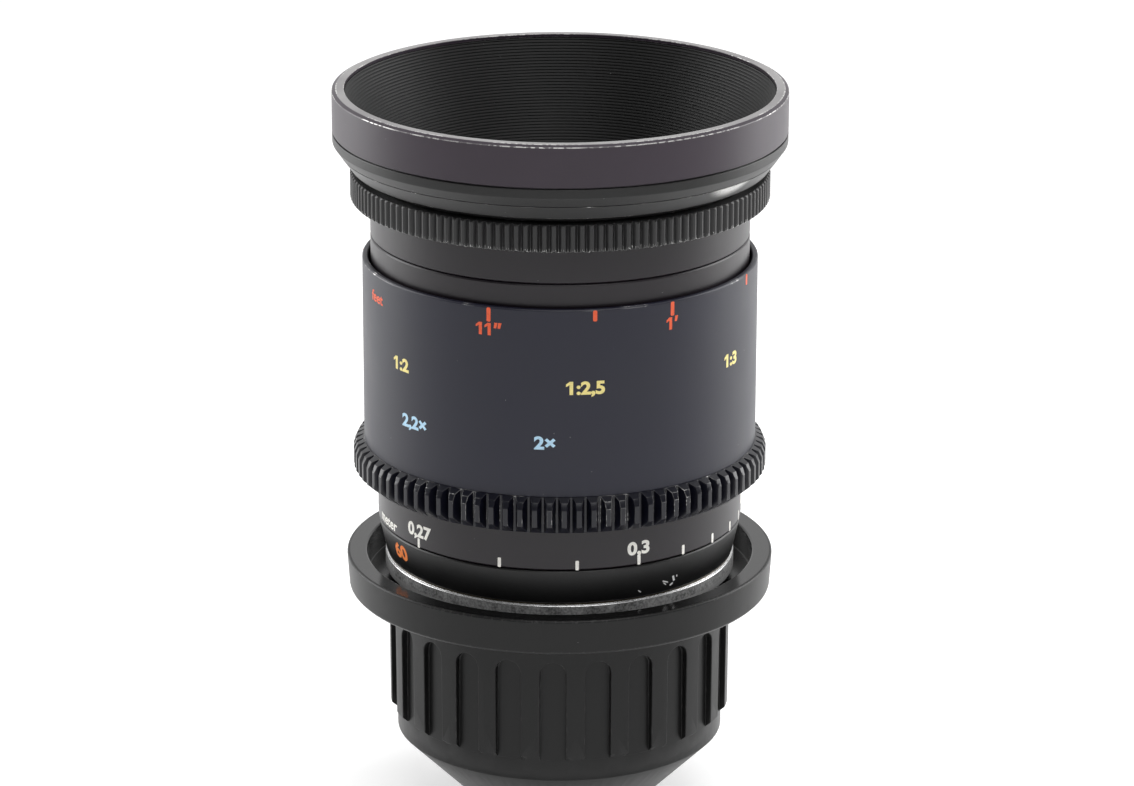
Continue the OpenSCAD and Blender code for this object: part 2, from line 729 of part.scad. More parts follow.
// The teeth run on past their tips, where the turned blank trims them
module gear_outline() {
    beyond = (gear_tip_r - gear_root_r) * 0.2;
    slope = (tooth_foot_share - tooth_tip_share) * gear_module / (gear_tip_r - gear_root_r);
    foot = gear_module * tooth_foot_share / gear_root_r * 180 / PI;
    tip = (gear_module * tooth_tip_share - slope * beyond) / (gear_tip_r + beyond) * 180 / PI;
    polygon([for (i = [0 : gear_teeth - 1],
            p = [[-foot, gear_root_r], [-tip, gear_tip_r + beyond], [tip, gear_tip_r + beyond],
                [foot, gear_root_r]])
        let (a = tooth_azimuth + i * 360 / gear_teeth + p[0]) [p[1] * cos(a), p[1] * sin(a)]]);
}

module metre_scale_ring() {
    color(BLACK)
    rotate_extrude()
        polygon([[driver_r + fit_gap, scale_z], [scale_r - edge, scale_z], [scale_r, scale_z + edge],
            [scale_r, gear_z], [driver_r + fit_gap, gear_z]]);
}

module gear_screws() {
    color(STEEL)
    for (i = [0 : gear_screws_n - 1])
        rotate([0, 0, i * 360 / gear_screws_n]) translate([gear_screw_pcr, 0, 0])
            sunk_screw(gear_screw_r, gear_z, gear_z + gear_lip_t + driver_flange_t, 2 * gear_screw_r,
                gear_screw_r);
}

module moving_barrel() {
    color(BLACK)
    rotate_extrude()
        polygon([[barrel_in, barrel_z], [barrel_r - edge, barrel_z], [barrel_r, barrel_z + edge],
            [barrel_r, joint_z - edge], [barrel_r - edge, joint_z], [barrel_in, joint_z]]);
}

// The upper barrel carries the iris ring and has the slot for its drive screw
module upper_barrel() {
    low = joint_z + joint_gap;
    color(BLACK)
    difference() {
        rotate_extrude()
            polygon([[barrel_in, low], [barrel_r - edge, low], [barrel_r, low + edge],
                [barrel_r, upper_top], [barrel_in, upper_top]]);
        arc_slot(arm_azimuth, arm_azimuth + iris_turn, barrel_in - cut, barrel_r + cut, iris_screw_z,
            iris_screw_r + slot_room);
    }
}

// The sliding helicoid: it moves along the axis, held straight by the guide keys
module sliding_helicoid() {
    flange_low = joint_z - heli_flange_t;
    color(BRASS)
    difference() {
        rotate_extrude()
            polygon([[heli_in, heli_z], [heli_r - edge, heli_z], [heli_r, heli_z + edge], [heli_r, flange_low],
                [barrel_in - fit_gap, flange_low], [barrel_in - fit_gap, joint_z], [heli_in, joint_z]]);
        for (i = [0 : keys_n - 1])
            rotate([0, 0, key_azimuth + i * 360 / keys_n])
                translate([key_in - cut, -key_w / 2 - run_gap, heli_z - cut])
                    cube([cut + key_t + run_gap, key_w + 2 * run_gap, flange_z - heli_z + cut - edge]);
        for (i = [0 : head_screws_n - 1])
            rotate([0, 0, head_screw_azimuth + i * 360 / head_screws_n]) head_screw_hole();
    }
}

module head_screw_hole() {
    translate([head_screw_in - fit_gap, 0, flange_z + head_flange_t / 2]) rotate([0, 90, 0])
        cylinder(r = head_screw_r + fit_gap, h = heli_r + cut - head_screw_in);
}

module head_screws() {
    color(STEEL)
    for (i = [0 : head_screws_n - 1])
        rotate([0, 0, head_screw_azimuth + i * 360 / head_screws_n])
            translate([head_screw_in, 0, flange_z + head_flange_t / 2]) rotate([0, 90, 0])
                cylinder(r = head_screw_r, h = heli_r - edge - head_screw_in);
}

// The lens head holds both cells and the iris, and hangs from its flange
module lens_head() {
    color(BLACK)
    difference() {
        rotate_extrude()
            polygon([[head_in, head_z], [head_r - edge, head_z], [head_r, head_z + edge], [head_r, flange_z],
                [heli_in - fit_gap, flange_z], [heli_in - fit_gap, flange_top],
                [baffle_out(flange_top) + fit_gap, flange_top], [head_in, flange_z]]);
        arc_slot(arm_azimuth, arm_azimuth + iris_turn, head_in - cut, head_r + cut, cam_pin_z,
            cam_pin_r + slot_room);
        intersection() {
            tube(heli_in + cut, arm_out - arm_t - slot_room, flange_z - cut, flange_top + cut);
            sector(arm_azimuth - arm_half_angle - 2, arm_azimuth + iris_turn + arm_half_angle + 2,
                heli_in + cut, flange_z - cut, flange_top + cut);
        }
        for (i = [0 : head_screws_n - 1])
            rotate([0, 0, head_screw_azimuth + i * 360 / head_screws_n]) head_screw_hole();
    }
}

module front_ring() {
    color(BLACK)
    rotate_extrude()
        polygon([[barrel_r + fit_gap, neck_z], [neck_r, neck_z], [neck_r, taper_z], [front_low_r, taper_z],
            [front_top_r, front_top], [baffle_out(front_top) + fit_gap, front_top],
            [baffle_out(upper_top) + fit_gap, upper_top + fit_gap], [barrel_r + fit_gap, upper_top + fit_gap]]);
}

// The hood: a rim with a bevel, a groove above its foot and a short taper to the front ring
module hood() {
    taper_top = hood_z + hood_taper_h;
    groove_z = hood_z + hood_groove_z;
    color(BLACK)
    rotate_extrude()
        polygon([[baffle_out(hood_z) + fit_gap, hood_z], [front_top_r, hood_z], [hood_r, taper_top],
            [hood_r, groove_z], [hood_r - hood_groove_depth, groove_z],
            [hood_r - hood_groove_depth, groove_z + hood_groove_w], [hood_r, groove_z + hood_groove_w],
            [hood_r, hood_top - hood_bevel_h], [hood_r - hood_bevel_w, hood_top],
            [hood_mouth_r, hood_top], [hood_mouth_r, hood_top - hood_lip_t],
            [baffle_out(baffle_top) + fit_gap, hood_top - hood_lip_t]]);
}

// The baffle inside the hood, a narrowing funnel with fine ridges against stray light
module hood_baffle() {
    pitch = baffle_depth / baffle_ridges;
    color(BLACK)
    rotate_extrude()
        polygon(concat(
            [[baffle_low_r + baffle_wall, baffle_low], [baffle_out(baffle_top), baffle_top]],
            [for (i = [0 : baffle_ridges - 1]) let (z = baffle_top - i * pitch)
                each [[baffle_in(z), z], [baffle_in(z) + baffle_ridge_depth, z - pitch / 2]]],
            [[baffle_low_r, baffle_low]]));
}

// The front cell: a stepped tube with seats for the front element and the doublet
module front_cell() {
    color(BLACK)
    rotate_extrude()
        polygon([[front_pair_r - ledge, front_cell_z], [cell_fit_r, front_cell_z],
            [cell_fit_r, front_cell_top - edge], [cell_fit_r - edge, front_cell_top],
            [front_glass_r + fit_gap, front_cell_top], [front_glass_r + fit_gap, front_seat_z],
            [front_pair_r + fit_gap, front_seat_z], [front_pair_r + fit_gap, front_cell_z + ledge],
            [front_pair_r - ledge, front_cell_z + ledge]]);
}

module front_retaining_ring() {
    color(BLACK)
    rotate_extrude()
        polygon([[front_glass_r - ledge, front_rim_z + ledge * 1.2], [front_glass_r, front_rim_z + ledge / 2],
            [front_glass_r, front_cell_top], [front_glass_r - ledge / 2, front_cell_top]]);
}

// The front element: its rim stands on the step of the cell
module front_element() {
    dome_r = curve_r(front_glass_r, front_dome_h);
    hollow_r = curve_r(front_glass_r - hollow_rim_w, front_glass_z - front_seat_z);
    color(GLASS)
    difference() {
        intersection() {
            translate([0, 0, front_seat_z]) cylinder(r = front_glass_r, h = front_glass_top - front_seat_z);
            translate([0, 0, front_glass_top - dome_r]) sphere(r = dome_r, $fn = 360);
        }
        translate([0, 0, front_glass_z - hollow_r]) sphere(r = hollow_r, $fn = 360);
    }
}

module front_doublet_crown() {
    dome_r = curve_r(front_pair_r, front_pair_dome_h);
    color(GLASS)
    intersection() {
        translate([0, 0, front_pair_joint]) cylinder(r = front_pair_r, h = front_pair_top - front_pair_joint);
        translate([0, 0, front_pair_top - dome_r]) sphere(r = dome_r, $fn = 360);
    }
}

module front_doublet_flint() {
    bowl_r = curve_r(front_pair_r - bowl_rim_w, front_pair_z - front_flint_z);
    color(GLASS)
    difference() {
        translate([0, 0, front_flint_z]) cylinder(r = front_pair_r, h = front_pair_joint - front_flint_z);
        translate([0, 0, front_pair_z - bowl_r]) sphere(r = bowl_r, $fn = 360);
    }
}

module front_spacer() {
    low = front_pair_top - front_pair_dome_h;
    color(BLACK)
    rotate_extrude()
        polygon([[front_pair_r - ledge, low + ledge], [front_pair_r, low + ledge / 2],
            [front_pair_r, front_seat_z], [front_pair_r - ledge, front_seat_z]]);
}

// The iris housing: a base plate with the blade pivots, and a rim that the cam ring rests on
module iris_housing() {
    color(BLACK)
    union() {
        difference() {
            translate([0, 0, iris_base_z]) cylinder(r = cell_fit_r, h = rim_top - iris_base_z);
            translate([0, 0, iris_base_z + iris_base_t]) cylinder(r = rim_in, h = rim_top);
            translate([0, 0, iris_base_z - cut]) cylinder(r = open_r, h = iris_base_t + 2 * cut);
        }
        for (i = [0 : blades_n - 1])
            rotate([0, 0, i * 360 / blades_n]) translate([pivot_pcr, 0, iris_base_z + iris_base_t / 2])
                cylinder(r = pivot_r, h = blade_level(i) + blade_t - iris_base_z - iris_base_t / 2, $fn = 24);
    }
}

function blade_level(i) = blades_z + i * blade_pitch;

// One blade: a crescent that starts at its pivot, and a short lever with the driving pin
module iris_blade(i) {
    outer = open_r + blade_w;
    lobe_r = pivot_r + 0.9 * pin_room;
    color(STEEL)
    if (i < blades_n)
    rotate([0, 0, i * 360 / blades_n]) {
        difference() {
            union() {
                intersection() {
                    tube(outer, open_r, blade_level(i), blade_level(i) + blade_t);
                    sector(-lobe_r / outer * 180 / PI, blade_span, outer, blade_level(i) - cut,
                        blade_level(i) + cut);
                }
                translate([outer - blade_w / 2, -lobe_r, blade_level(i)])
                    cube([pivot_pcr - outer + blade_w / 2, 2 * lobe_r, blade_t]);
                translate([pivot_pcr, 0, blade_level(i)]) cylinder(r = lobe_r, h = blade_t, $fn = 32);
                translate([pivot_pcr - pin_room, -lever_l, blade_level(i)])
                    cube([2 * pin_room, lever_l, blade_t]);
                translate([pivot_pcr, -lever_l, blade_level(i)]) cylinder(r = pin_room, h = blade_t, $fn = 32);
            }
            translate([pivot_pcr, 0, blade_level(i) - cut])
                cylinder(r = pivot_r + run_gap, h = blade_t + 2 * cut, $fn = 32);
        }
        translate([pivot_pcr, -lever_l, blade_level(i) + blade_t / 2])
            cylinder(r = pin_r, h = cam_z + cam_t - blade_level(i) - blade_t / 2, $fn = 24);
    }
}

// Where a driving pin stands when the iris has turned by a share of its travel
function pin_at(share) = let (b = blade_turn * share)
    [pivot_pcr + lever_l * sin(b), -lever_l * cos(b)];
function pin_radius(share) = norm(pin_at(share));
function pin_angle(share) = atan2(pin_at(share)[1], pin_at(share)[0]) - iris_turn * share;

// The cam ring: its slots push the driving pins outwards as it turns
module iris_cam_ring() {
    steps = 12;
    half = pin_r + run_gap + fit_gap;
    color(STEEL)
    difference() {
        union() {
            tube(cam_r, pivot_pcr - 0.3 * pin_room, cam_z, cam_z + cam_t);
            tube(cam_r, cam_r - cam_rim_t, cam_z, cam_top);
        }
        for (i = [0 : blades_n - 1]) rotate([0, 0, i * 360 / blades_n]) {
            translate([0, 0, cam_z - cut]) linear_extrude(cam_t + 2 * cut)
                polygon(concat(
                    [for (k = [0 : steps]) let (s = k / steps, r = pin_radius(s) + half)
                        [r * cos(pin_angle(s)), r * sin(pin_angle(s))]],
                    [for (k = [steps : -1 : 0]) let (s = k / steps, r = pin_radius(s) - half)
                        [r * cos(pin_angle(s)), r * sin(pin_angle(s))]]));
            for (s = [0, 1])
                rotate([0, 0, pin_angle(s)]) translate([pin_radius(s), 0, cam_z - cut])
                    cylinder(r = half, h = cam_t + 2 * cut, $fn = 24);
        }
        rotate([0, 0, arm_azimuth]) translate([cam_r - cam_rim_t - cut, 0, cam_pin_z]) rotate([0, 90, 0])
            cylinder(r = cam_pin_r + fit_gap, h = cam_rim_t + 2 * cut, $fn = 32);
    }
}

module cam_pin() {
    color(STEEL)
    rotate([0, 0, arm_azimuth]) translate([cam_r - cam_rim_t, 0, cam_pin_z]) rotate([0, 90, 0])
        cylinder(r = cam_pin_r, h = arm_out - cam_r + cam_rim_t - fit_gap, $fn = 32);
}

// The arm: a strip bent outwards at the top, from the iris down to the iris ring
module iris_arm() {
    color(STEEL)
    difference() {
        intersection() {
            rotate_extrude()
                polygon([[arm_out - arm_t, arm_z], [arm_out, arm_z], [arm_out, arm_bend_z],
                    [arm_pad_out, arm_pad_z], [arm_pad_out, arm_pad_top],
                    [arm_pad_out - arm_pad_t, arm_pad_top], [arm_pad_out - arm_pad_t, arm_pad_z],
                    [arm_out - arm_t, arm_bend_z + arm_t / 2]]);
            sector(arm_azimuth - arm_half_angle, arm_azimuth + arm_half_angle, arm_pad_out + cut,
                arm_z - cut, arm_pad_top + cut);
        }
        rotate([0, 0, arm_azimuth]) translate([arm_out - arm_t - cut, 0, cam_pin_z]) rotate([0, 90, 0])
            cylinder(r = cam_pin_r + fit_gap, h = arm_t + 2 * cut, $fn = 32);
        rotate([0, 0, arm_azimuth]) translate([arm_pad_out - arm_pad_t - cut, 0, iris_screw_z])
            rotate([0, 90, 0]) cylinder(r = iris_screw_r + fit_gap, h = arm_pad_t + 2 * cut, $fn = 32);
    }
}

module iris_screw() {
    color(STEEL)
    rotate([0, 0, arm_azimuth]) translate([arm_pad_out - arm_pad_t, 0, iris_screw_z]) rotate([0, 90, 0])
        cylinder(r = iris_screw_r, h = iris_r - iris_rib_depth - edge - arm_pad_out + arm_pad_t, $fn = 32);
}

// The iris ring: fine ribs all round, with a chamfer above and below
module iris_ring() {
    low_r = iris_r - iris_rib_depth;
    color(BLACK)
    difference() {
        intersection() {
            translate([0, 0, iris_z]) linear_extrude(iris_h)
                polygon([for (i = [0 : iris_ribs - 1], p = iris_rib_shares)
                    let (a = (i + p[0]) * 360 / iris_ribs, r = low_r + iris_rib_depth * p[1])
                        [r * cos(a), r * sin(a)]]);
            rotate_extrude()
                polygon([[0, iris_z], [iris_r - iris_chamfer, iris_z], [iris_r, iris_z + iris_chamfer],
                    [iris_r, iris_top - iris_chamfer], [iris_r - iris_chamfer, iris_top], [0, iris_top]]);
        }
        translate([0, 0, iris_z - cut]) cylinder(r = barrel_r + run_gap, h = iris_h + 2 * cut);
        rotate([0, 0, arm_azimuth]) translate([barrel_r - cut, 0, iris_screw_z]) rotate([0, 90, 0])
            cylinder(r = iris_screw_r + fit_gap, h = iris_r - barrel_r + 2 * cut, $fn = 32);
    }
}

// The rear cell: a flange below the iris and a stepped tube that reaches into the mount
module rear_cell() {
    top = head_z + rear_flange_t;
    color(BLACK)
    rotate_extrude()
        polygon([[rear_glass_r + fit_gap, rear_cell_z], [rear_cell_r - edge, rear_cell_z],
            [rear_cell_r, rear_cell_z + edge],
            [rear_cell_r, head_z], [cell_fit_r, head_z], [cell_fit_r, top],
            [rear_pair_r + fit_gap, top], [rear_pair_r + fit_gap, rear_step_z],
            [rear_pair_r - ledge, rear_step_z - ledge / 2], [rear_pair_r - ledge, rear_step_z - ledge],
            [rear_glass_r + fit_gap, rear_step_z - ledge]]);
}

module rear_doublet_crown() {
    dome_r = curve_r(rear_pair_r, rear_pair_dome_h);
    color(GLASS)
    intersection() {
        translate([0, 0, rear_pair_z]) cylinder(r = rear_pair_r, h = rear_pair_joint - rear_pair_z);
        translate([0, 0, rear_pair_z + dome_r]) sphere(r = dome_r, $fn = 360);
    }
}

module rear_doublet_flint() {
    bowl_r = curve_r(rear_pair_r - bowl_rim_w, rear_flint_top - rear_pair_top);
    color(GLASS)
    difference() {
        translate([0, 0, rear_pair_joint]) cylinder(r = rear_pair_r, h = rear_flint_top - rear_pair_joint);
        translate([0, 0, rear_pair_top + bowl_r]) sphere(r = bowl_r, $fn = 360);
    }
}

module rear_element() {
    dome_r = curve_r(rear_glass_r, rear_dome_h);
    weak_dome_r = curve_r(rear_glass_r, rear_weak_dome_h);
    color(GLASS)
    intersection() {
        translate([0, 0, rear_glass_z]) cylinder(r = rear_glass_r, h = rear_glass_top - rear_glass_z);
        translate([0, 0, rear_glass_z + dome_r]) sphere(r = dome_r, $fn = 360);
        translate([0, 0, rear_glass_top - weak_dome_r]) sphere(r = weak_dome_r, $fn = 360);
    }
}

// Its lower edge slopes, so that it clears the dome of the rear element
module rear_spacer() {
    low = rear_glass_top - rear_weak_dome_h;
    top = rear_step_z - ledge;
    color(BLACK)
    rotate_extrude()
        polygon([[rear_glass_r - ledge, low + ledge / 2], [rear_glass_r, low + ledge / 4],
            [rear_glass_r, top], [rear_glass_r - ledge, top]]);
}

module rear_retaining_ring() {
    high = rear_glass_z + rear_dome_h;
    color(BLACK)
    rotate_extrude()
        polygon([[rear_glass_r - ledge / 2, rear_cell_z], [rear_glass_r, rear_cell_z],
            [rear_glass_r, high - ledge / 2], [rear_glass_r - ledge, high - ledge]]);
}

rear_cap();
lens_mount();
mount_screws();
focus_shim();
fixed_barrel();
guide_keys();
key_screws();
driver_retaining_ring();
focus_driver();
focus_sleeve();
focus_gear();
metre_scale_ring();
gear_screws();
moving_barrel();
upper_barrel();
sliding_helicoid();
lens_head();
head_screws();
front_ring();
hood();
hood_baffle();
front_cell();
front_retaining_ring();
front_element();
front_doublet_crown();
front_doublet_flint();
front_spacer();
iris_housing();
rear_cell();
rear_doublet_flint();
rear_doublet_crown();
rear_element();
rear_spacer();
rear_retaining_ring();
iris_ring();
iris_arm();
iris_screw();
iris_cam_ring();
cam_pin();
iris_blade(0);  // iris_blade_1
iris_blade(1);  // iris_blade_2
iris_blade(2);  // iris_blade_3
iris_blade(3);  // iris_blade_4
iris_blade(4);  // iris_blade_5
iris_blade(5);  // iris_blade_6
iris_blade(6);  // iris_blade_7
iris_blade(7);  // iris_blade_8
iris_blade(8);  // iris_blade_9
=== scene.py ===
# %% [markdown]
# # A macro lens that stands on its rear cap
# The object is a heavy lens for film cameras: black anodised aluminium rings, engraved and painted
# scales, a follow focus gear and a wide hood, standing upright on a moulded cap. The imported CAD
# model is the frame. Every piece below takes its size from it, and only adds what the CAD leaves
# out: rounded edges, engraved numbers, fine ridges, wear and the surfaces themselves.

# %% Load the frame
import json
import math

import bmesh
import bpy
from mathutils import Matrix, Vector


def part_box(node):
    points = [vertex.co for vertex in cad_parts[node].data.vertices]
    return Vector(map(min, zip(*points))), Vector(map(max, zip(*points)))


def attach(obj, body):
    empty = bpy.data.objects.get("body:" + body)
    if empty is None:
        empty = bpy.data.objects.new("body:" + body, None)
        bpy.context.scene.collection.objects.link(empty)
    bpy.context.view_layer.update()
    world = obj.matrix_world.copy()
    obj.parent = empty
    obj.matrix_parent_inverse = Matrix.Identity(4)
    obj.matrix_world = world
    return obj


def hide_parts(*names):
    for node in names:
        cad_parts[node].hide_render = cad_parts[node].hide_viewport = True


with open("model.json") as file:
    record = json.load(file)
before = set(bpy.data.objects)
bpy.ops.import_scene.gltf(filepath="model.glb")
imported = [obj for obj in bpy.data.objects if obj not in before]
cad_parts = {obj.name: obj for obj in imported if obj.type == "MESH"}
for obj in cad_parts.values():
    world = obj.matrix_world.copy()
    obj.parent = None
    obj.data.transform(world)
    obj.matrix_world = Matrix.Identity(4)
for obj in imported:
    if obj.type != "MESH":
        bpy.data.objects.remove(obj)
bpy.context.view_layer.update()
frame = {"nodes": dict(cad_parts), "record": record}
nodes = frame["nodes"]
scene = bpy.context.scene
scene.view_settings.view_transform = "Standard"
MM = 0.001
NEAR = 0.01 * MM
TOUCHING = MM / 10000

# %% [markdown]
# ## The camera
# The photograph is taken from about a metre away with a long lens, looking a little down. The
# camera could be placed by eye, but the ellipses of the rings give its pitch and its distance
# exactly, so these numbers come from fitting those ellipses. No shift is needed.

# %% Place the camera
PHOTO_WIDTH = 1134
PHOTO_HEIGHT = 786
FOCAL_PX = 4664.0
SENSOR_WIDTH = 36
PITCH = math.radians(18.266)
ROLL = math.radians(0.133)
DISTANCE = 993.33 * MM
AIM = Vector((1.527, 0, 92)) * MM
CLIP_START = 0.05
CLIP_END = 20

lens_data = bpy.data.cameras.new("photo_camera")
lens_data.sensor_width = SENSOR_WIDTH
lens_data.lens = FOCAL_PX / PHOTO_WIDTH * SENSOR_WIDTH
lens_data.clip_start = CLIP_START
lens_data.clip_end = CLIP_END
camera = bpy.data.objects.new("photo_camera", lens_data)
scene.collection.objects.link(camera)
towards_camera = Vector((0, -math.cos(PITCH), math.sin(PITCH)))
camera.matrix_world = (
    Matrix.Translation(AIM + towards_camera * DISTANCE)
    @ Matrix.Rotation(math.pi / 2 - PITCH, 4, "X")
    @ Matrix.Rotation(ROLL, 4, "Z")
)
scene.camera = camera
print("camera lens", round(lens_data.lens, 2), "mm")


# %% [markdown]
# ## Materials as expressions
# A finish is a chain of small sums: how much wear, how much dust, how rough. Written as nodes by
# hand that is long, so one class wraps a socket and turns Python's operators into Math nodes. What
# a finish does then reads as a formula.

# %% A socket with operators
class Flow:
    """A socket of a recipe. Sums and comparisons on it become Math nodes."""

    def __init__(self, recipe, socket):
        self.recipe = recipe
        self.socket = socket

    def maths(self, operation, *others):
        """One Math node, with this socket as its first input."""
        return self.recipe.node("Math", {"operation": operation}, [self, *others])

    def __add__(self, other):
        return self.maths("ADD", other)

    __radd__ = __add__

    def __sub__(self, other):
        return self.maths("SUBTRACT", other)

    def __rsub__(self, other):
        return self.recipe.node("Math", {"operation": "SUBTRACT"}, [other, self])

    def __mul__(self, other):
        return self.maths("MULTIPLY", other)

    __rmul__ = __mul__

    def __truediv__(self, other):
        return self.maths("DIVIDE", other)

    def __gt__(self, other):
        return self.maths("GREATER_THAN", other)

    def __lt__(self, other):
        return self.maths("LESS_THAN", other)

    def smooth(self, low, high):
        """0 below low, 1 above high, and a soft step between them."""
        return self.recipe.node("MapRange", {"interpolation_type": "SMOOTHSTEP"}, [self, low, high])


print("sockets can now be added, subtracted, multiplied, divided and compared")


# %% [markdown]
# ## One way to add any other node
# Every other node is made in the same three steps: choose its type, set its options, then fill its
# sockets with values or with another node's output. One method does this for the materials and for
# the world, so nothing below has to handle a node tree by hand.

# %% A recipe that adds nodes
class Recipe:
    """The node tree of a material or of the world."""

    def __init__(self, owner):
        owner.use_nodes = True
        self.tree = owner.node_tree
        self.tree.nodes.clear()

    def node(self, kind, settings=None, inputs=(), output=0):
        """Adds a node and gives back one of its outputs, or nothing if it has none."""
        made = self.tree.nodes.new("ShaderNode" + kind)
        for key, value in (settings or {}).items():
            setattr(made, key, value)
        pairs = inputs.items() if isinstance(inputs, dict) else enumerate(inputs)
        for key, value in pairs:
            if isinstance(value, Flow):
                self.tree.links.new(value.socket, made.inputs[key])
            else:
                made.inputs[key].default_value = value
        return Flow(self, made.outputs[output]) if made.outputs else None


print("nodes can be added")


# %% [markdown]
# ## The patterns of a finish
# All patterns are worked out from the place on the object, in metres, so a speck of dust has its
# real size on whatever piece it lies. Image textures would need an unwrapping for every ring; noise
# in space needs none, and a pattern for turned work only has to follow the optical axis.

# %% A finish and its patterns
class Finish(Recipe):
    """A material under construction, on Object coordinates in metres."""

    def __init__(self, name):
        self.material = bpy.data.materials.new(name)
        super().__init__(self.material)
        self.place = self.node("TexCoord", output="Object")
        self.x, self.y, self.z = (
            self.node("SeparateXYZ", None, [self.place], axis) for axis in "XYZ"
        )
        self.edge = self.node("Attribute", {"attribute_name": "edge"}, output="Fac")

    def radius(self):
        """Distance from the optical axis."""
        return (self.x * self.x + self.y * self.y).maths("SQRT")

    def noise(self, size, detail=2.0, place=None):
        """Cloudy noise whose blotches are about size across, from 0 to 1."""
        place = place or self.place
        return self.node("TexNoise", None, {"Vector": place, "Scale": 1 / size, "Detail": detail})

    def stretched(self, scale):
        """The place, scaled differently along X, Y and Z."""
        return self.node("Mapping", None, {"Vector": self.place, "Scale": scale})

    def round_the_axis(self, arc, height):
        """Coordinates that follow a turned surface, in strips of arc by height."""
        turn = self.y.maths("ARCTAN2", self.x)
        return self.node("CombineXYZ", None, [turn / arc, self.z / height, self.radius() / height])

    def specks(self, spacing, size, share):
        """Dust: dots of a given size on a share of the cells of a Voronoi pattern."""
        cells = {"Vector": self.place, "Scale": 1 / spacing}
        near = self.node("TexVoronoi", None, cells, "Distance") < size / spacing
        lot = self.node("TexVoronoi", None, cells, "Color")
        chosen = self.node("SeparateColor", None, [lot], "Red") < share
        return near * chosen

    def spot(self, point, size, flat=1.0, core=0.4):
        """1 at a point, fading to 0 at a distance of size. Flat spots are less high than wide."""
        squeezed = (point[0], point[1], point[2] * flat)
        place = self.stretched((1, 1, flat))
        away = self.node("VectorMath", {"operation": "DISTANCE"}, [place, squeezed], "Value")
        return 1 - away.smooth(size * core, size)

    def mix(self, share, first, second):
        """Colour first, turning into colour second where share is 1."""
        return self.node("Mix", {"data_type": "RGBA"}, {0: share, 6: first, 7: second}, output=2)

    def bump(self, height, depth, strength=1.0):
        """A normal from a height between 0 and 1, depth metres deep."""
        inputs = {"Height": height, "Distance": depth, "Strength": strength}
        return self.node("Bump", None, inputs)

    def surface(self, **inputs):
        """Ends the finish with a Principled shader."""
        named = {key.replace("_", " "): value for key, value in inputs.items()}
        shader = self.node("BsdfPrincipled", None, named)
        self.node("OutputMaterial", None, {"Surface": shader})
        return self


def grey(level, tint=(1, 1, 1)):
    """A colour from a linear level and a tint."""
    return (level * tint[0], level * tint[1], level * tint[2], 1)


print("finishes can be written")

# %% [markdown]
# ## Black anodised aluminium
# Most of the lens is turned aluminium with a black anodised skin. It is not plain black: it has a
# faint blue or violet cast, a very fine grain from the blasting under it, cloudy polish where
# fingers hold it, a little dust, and bare bright metal where an edge has been knocked. Bevels carry
# the attribute edge, so the wear sits on the real edges and noise breaks it into chips.

# %% The anodised skin as a function
CLOUD_SIZE = 14 * MM
CLOUD_DARK = 0.85
CLOUD_LIGHT = 1.2
CLOUD_ROUGHNESS = 0.12
GRAIN_SIZE = 0.16 * MM
GRAIN_DEPTH = 0.012 * MM
GRAIN_STRENGTH = 0.4
DUST_TONE = grey(0.22)
DUST_SPACING = 1.1 * MM
DUST_SIZE = 0.085 * MM
DUST_ROUGHNESS = 0.3
# Bare metal at worn edges and rubs; on the hood's top face the same tone is a painted reflection.
WEAR_AND_REFLECTION_TONE = grey(0.62, (1, 0.99, 0.97))
BARE_ROUGHNESS = 0.34
BARE_METALLIC = 0.5
THIN_SKIN = 0.14
CHIP_START = 0.66
CHIP_FADE = 0.12
WEAR_REACH = 0.3
WORN_STRETCH = 9 * MM
# How much of the hood's top face is painted pale as a reflection, and how much the clouds add.
REFLECTION_LEAST = 0.15
REFLECTION_CLOUDS = 0.5
SCRATCH_SIZE = 0.8 * MM
SCRATCH_LIMITS = (0.16, 0.46)
PLAIN_TONE = grey(0.006)
SKIN_SPECULAR = 0.42


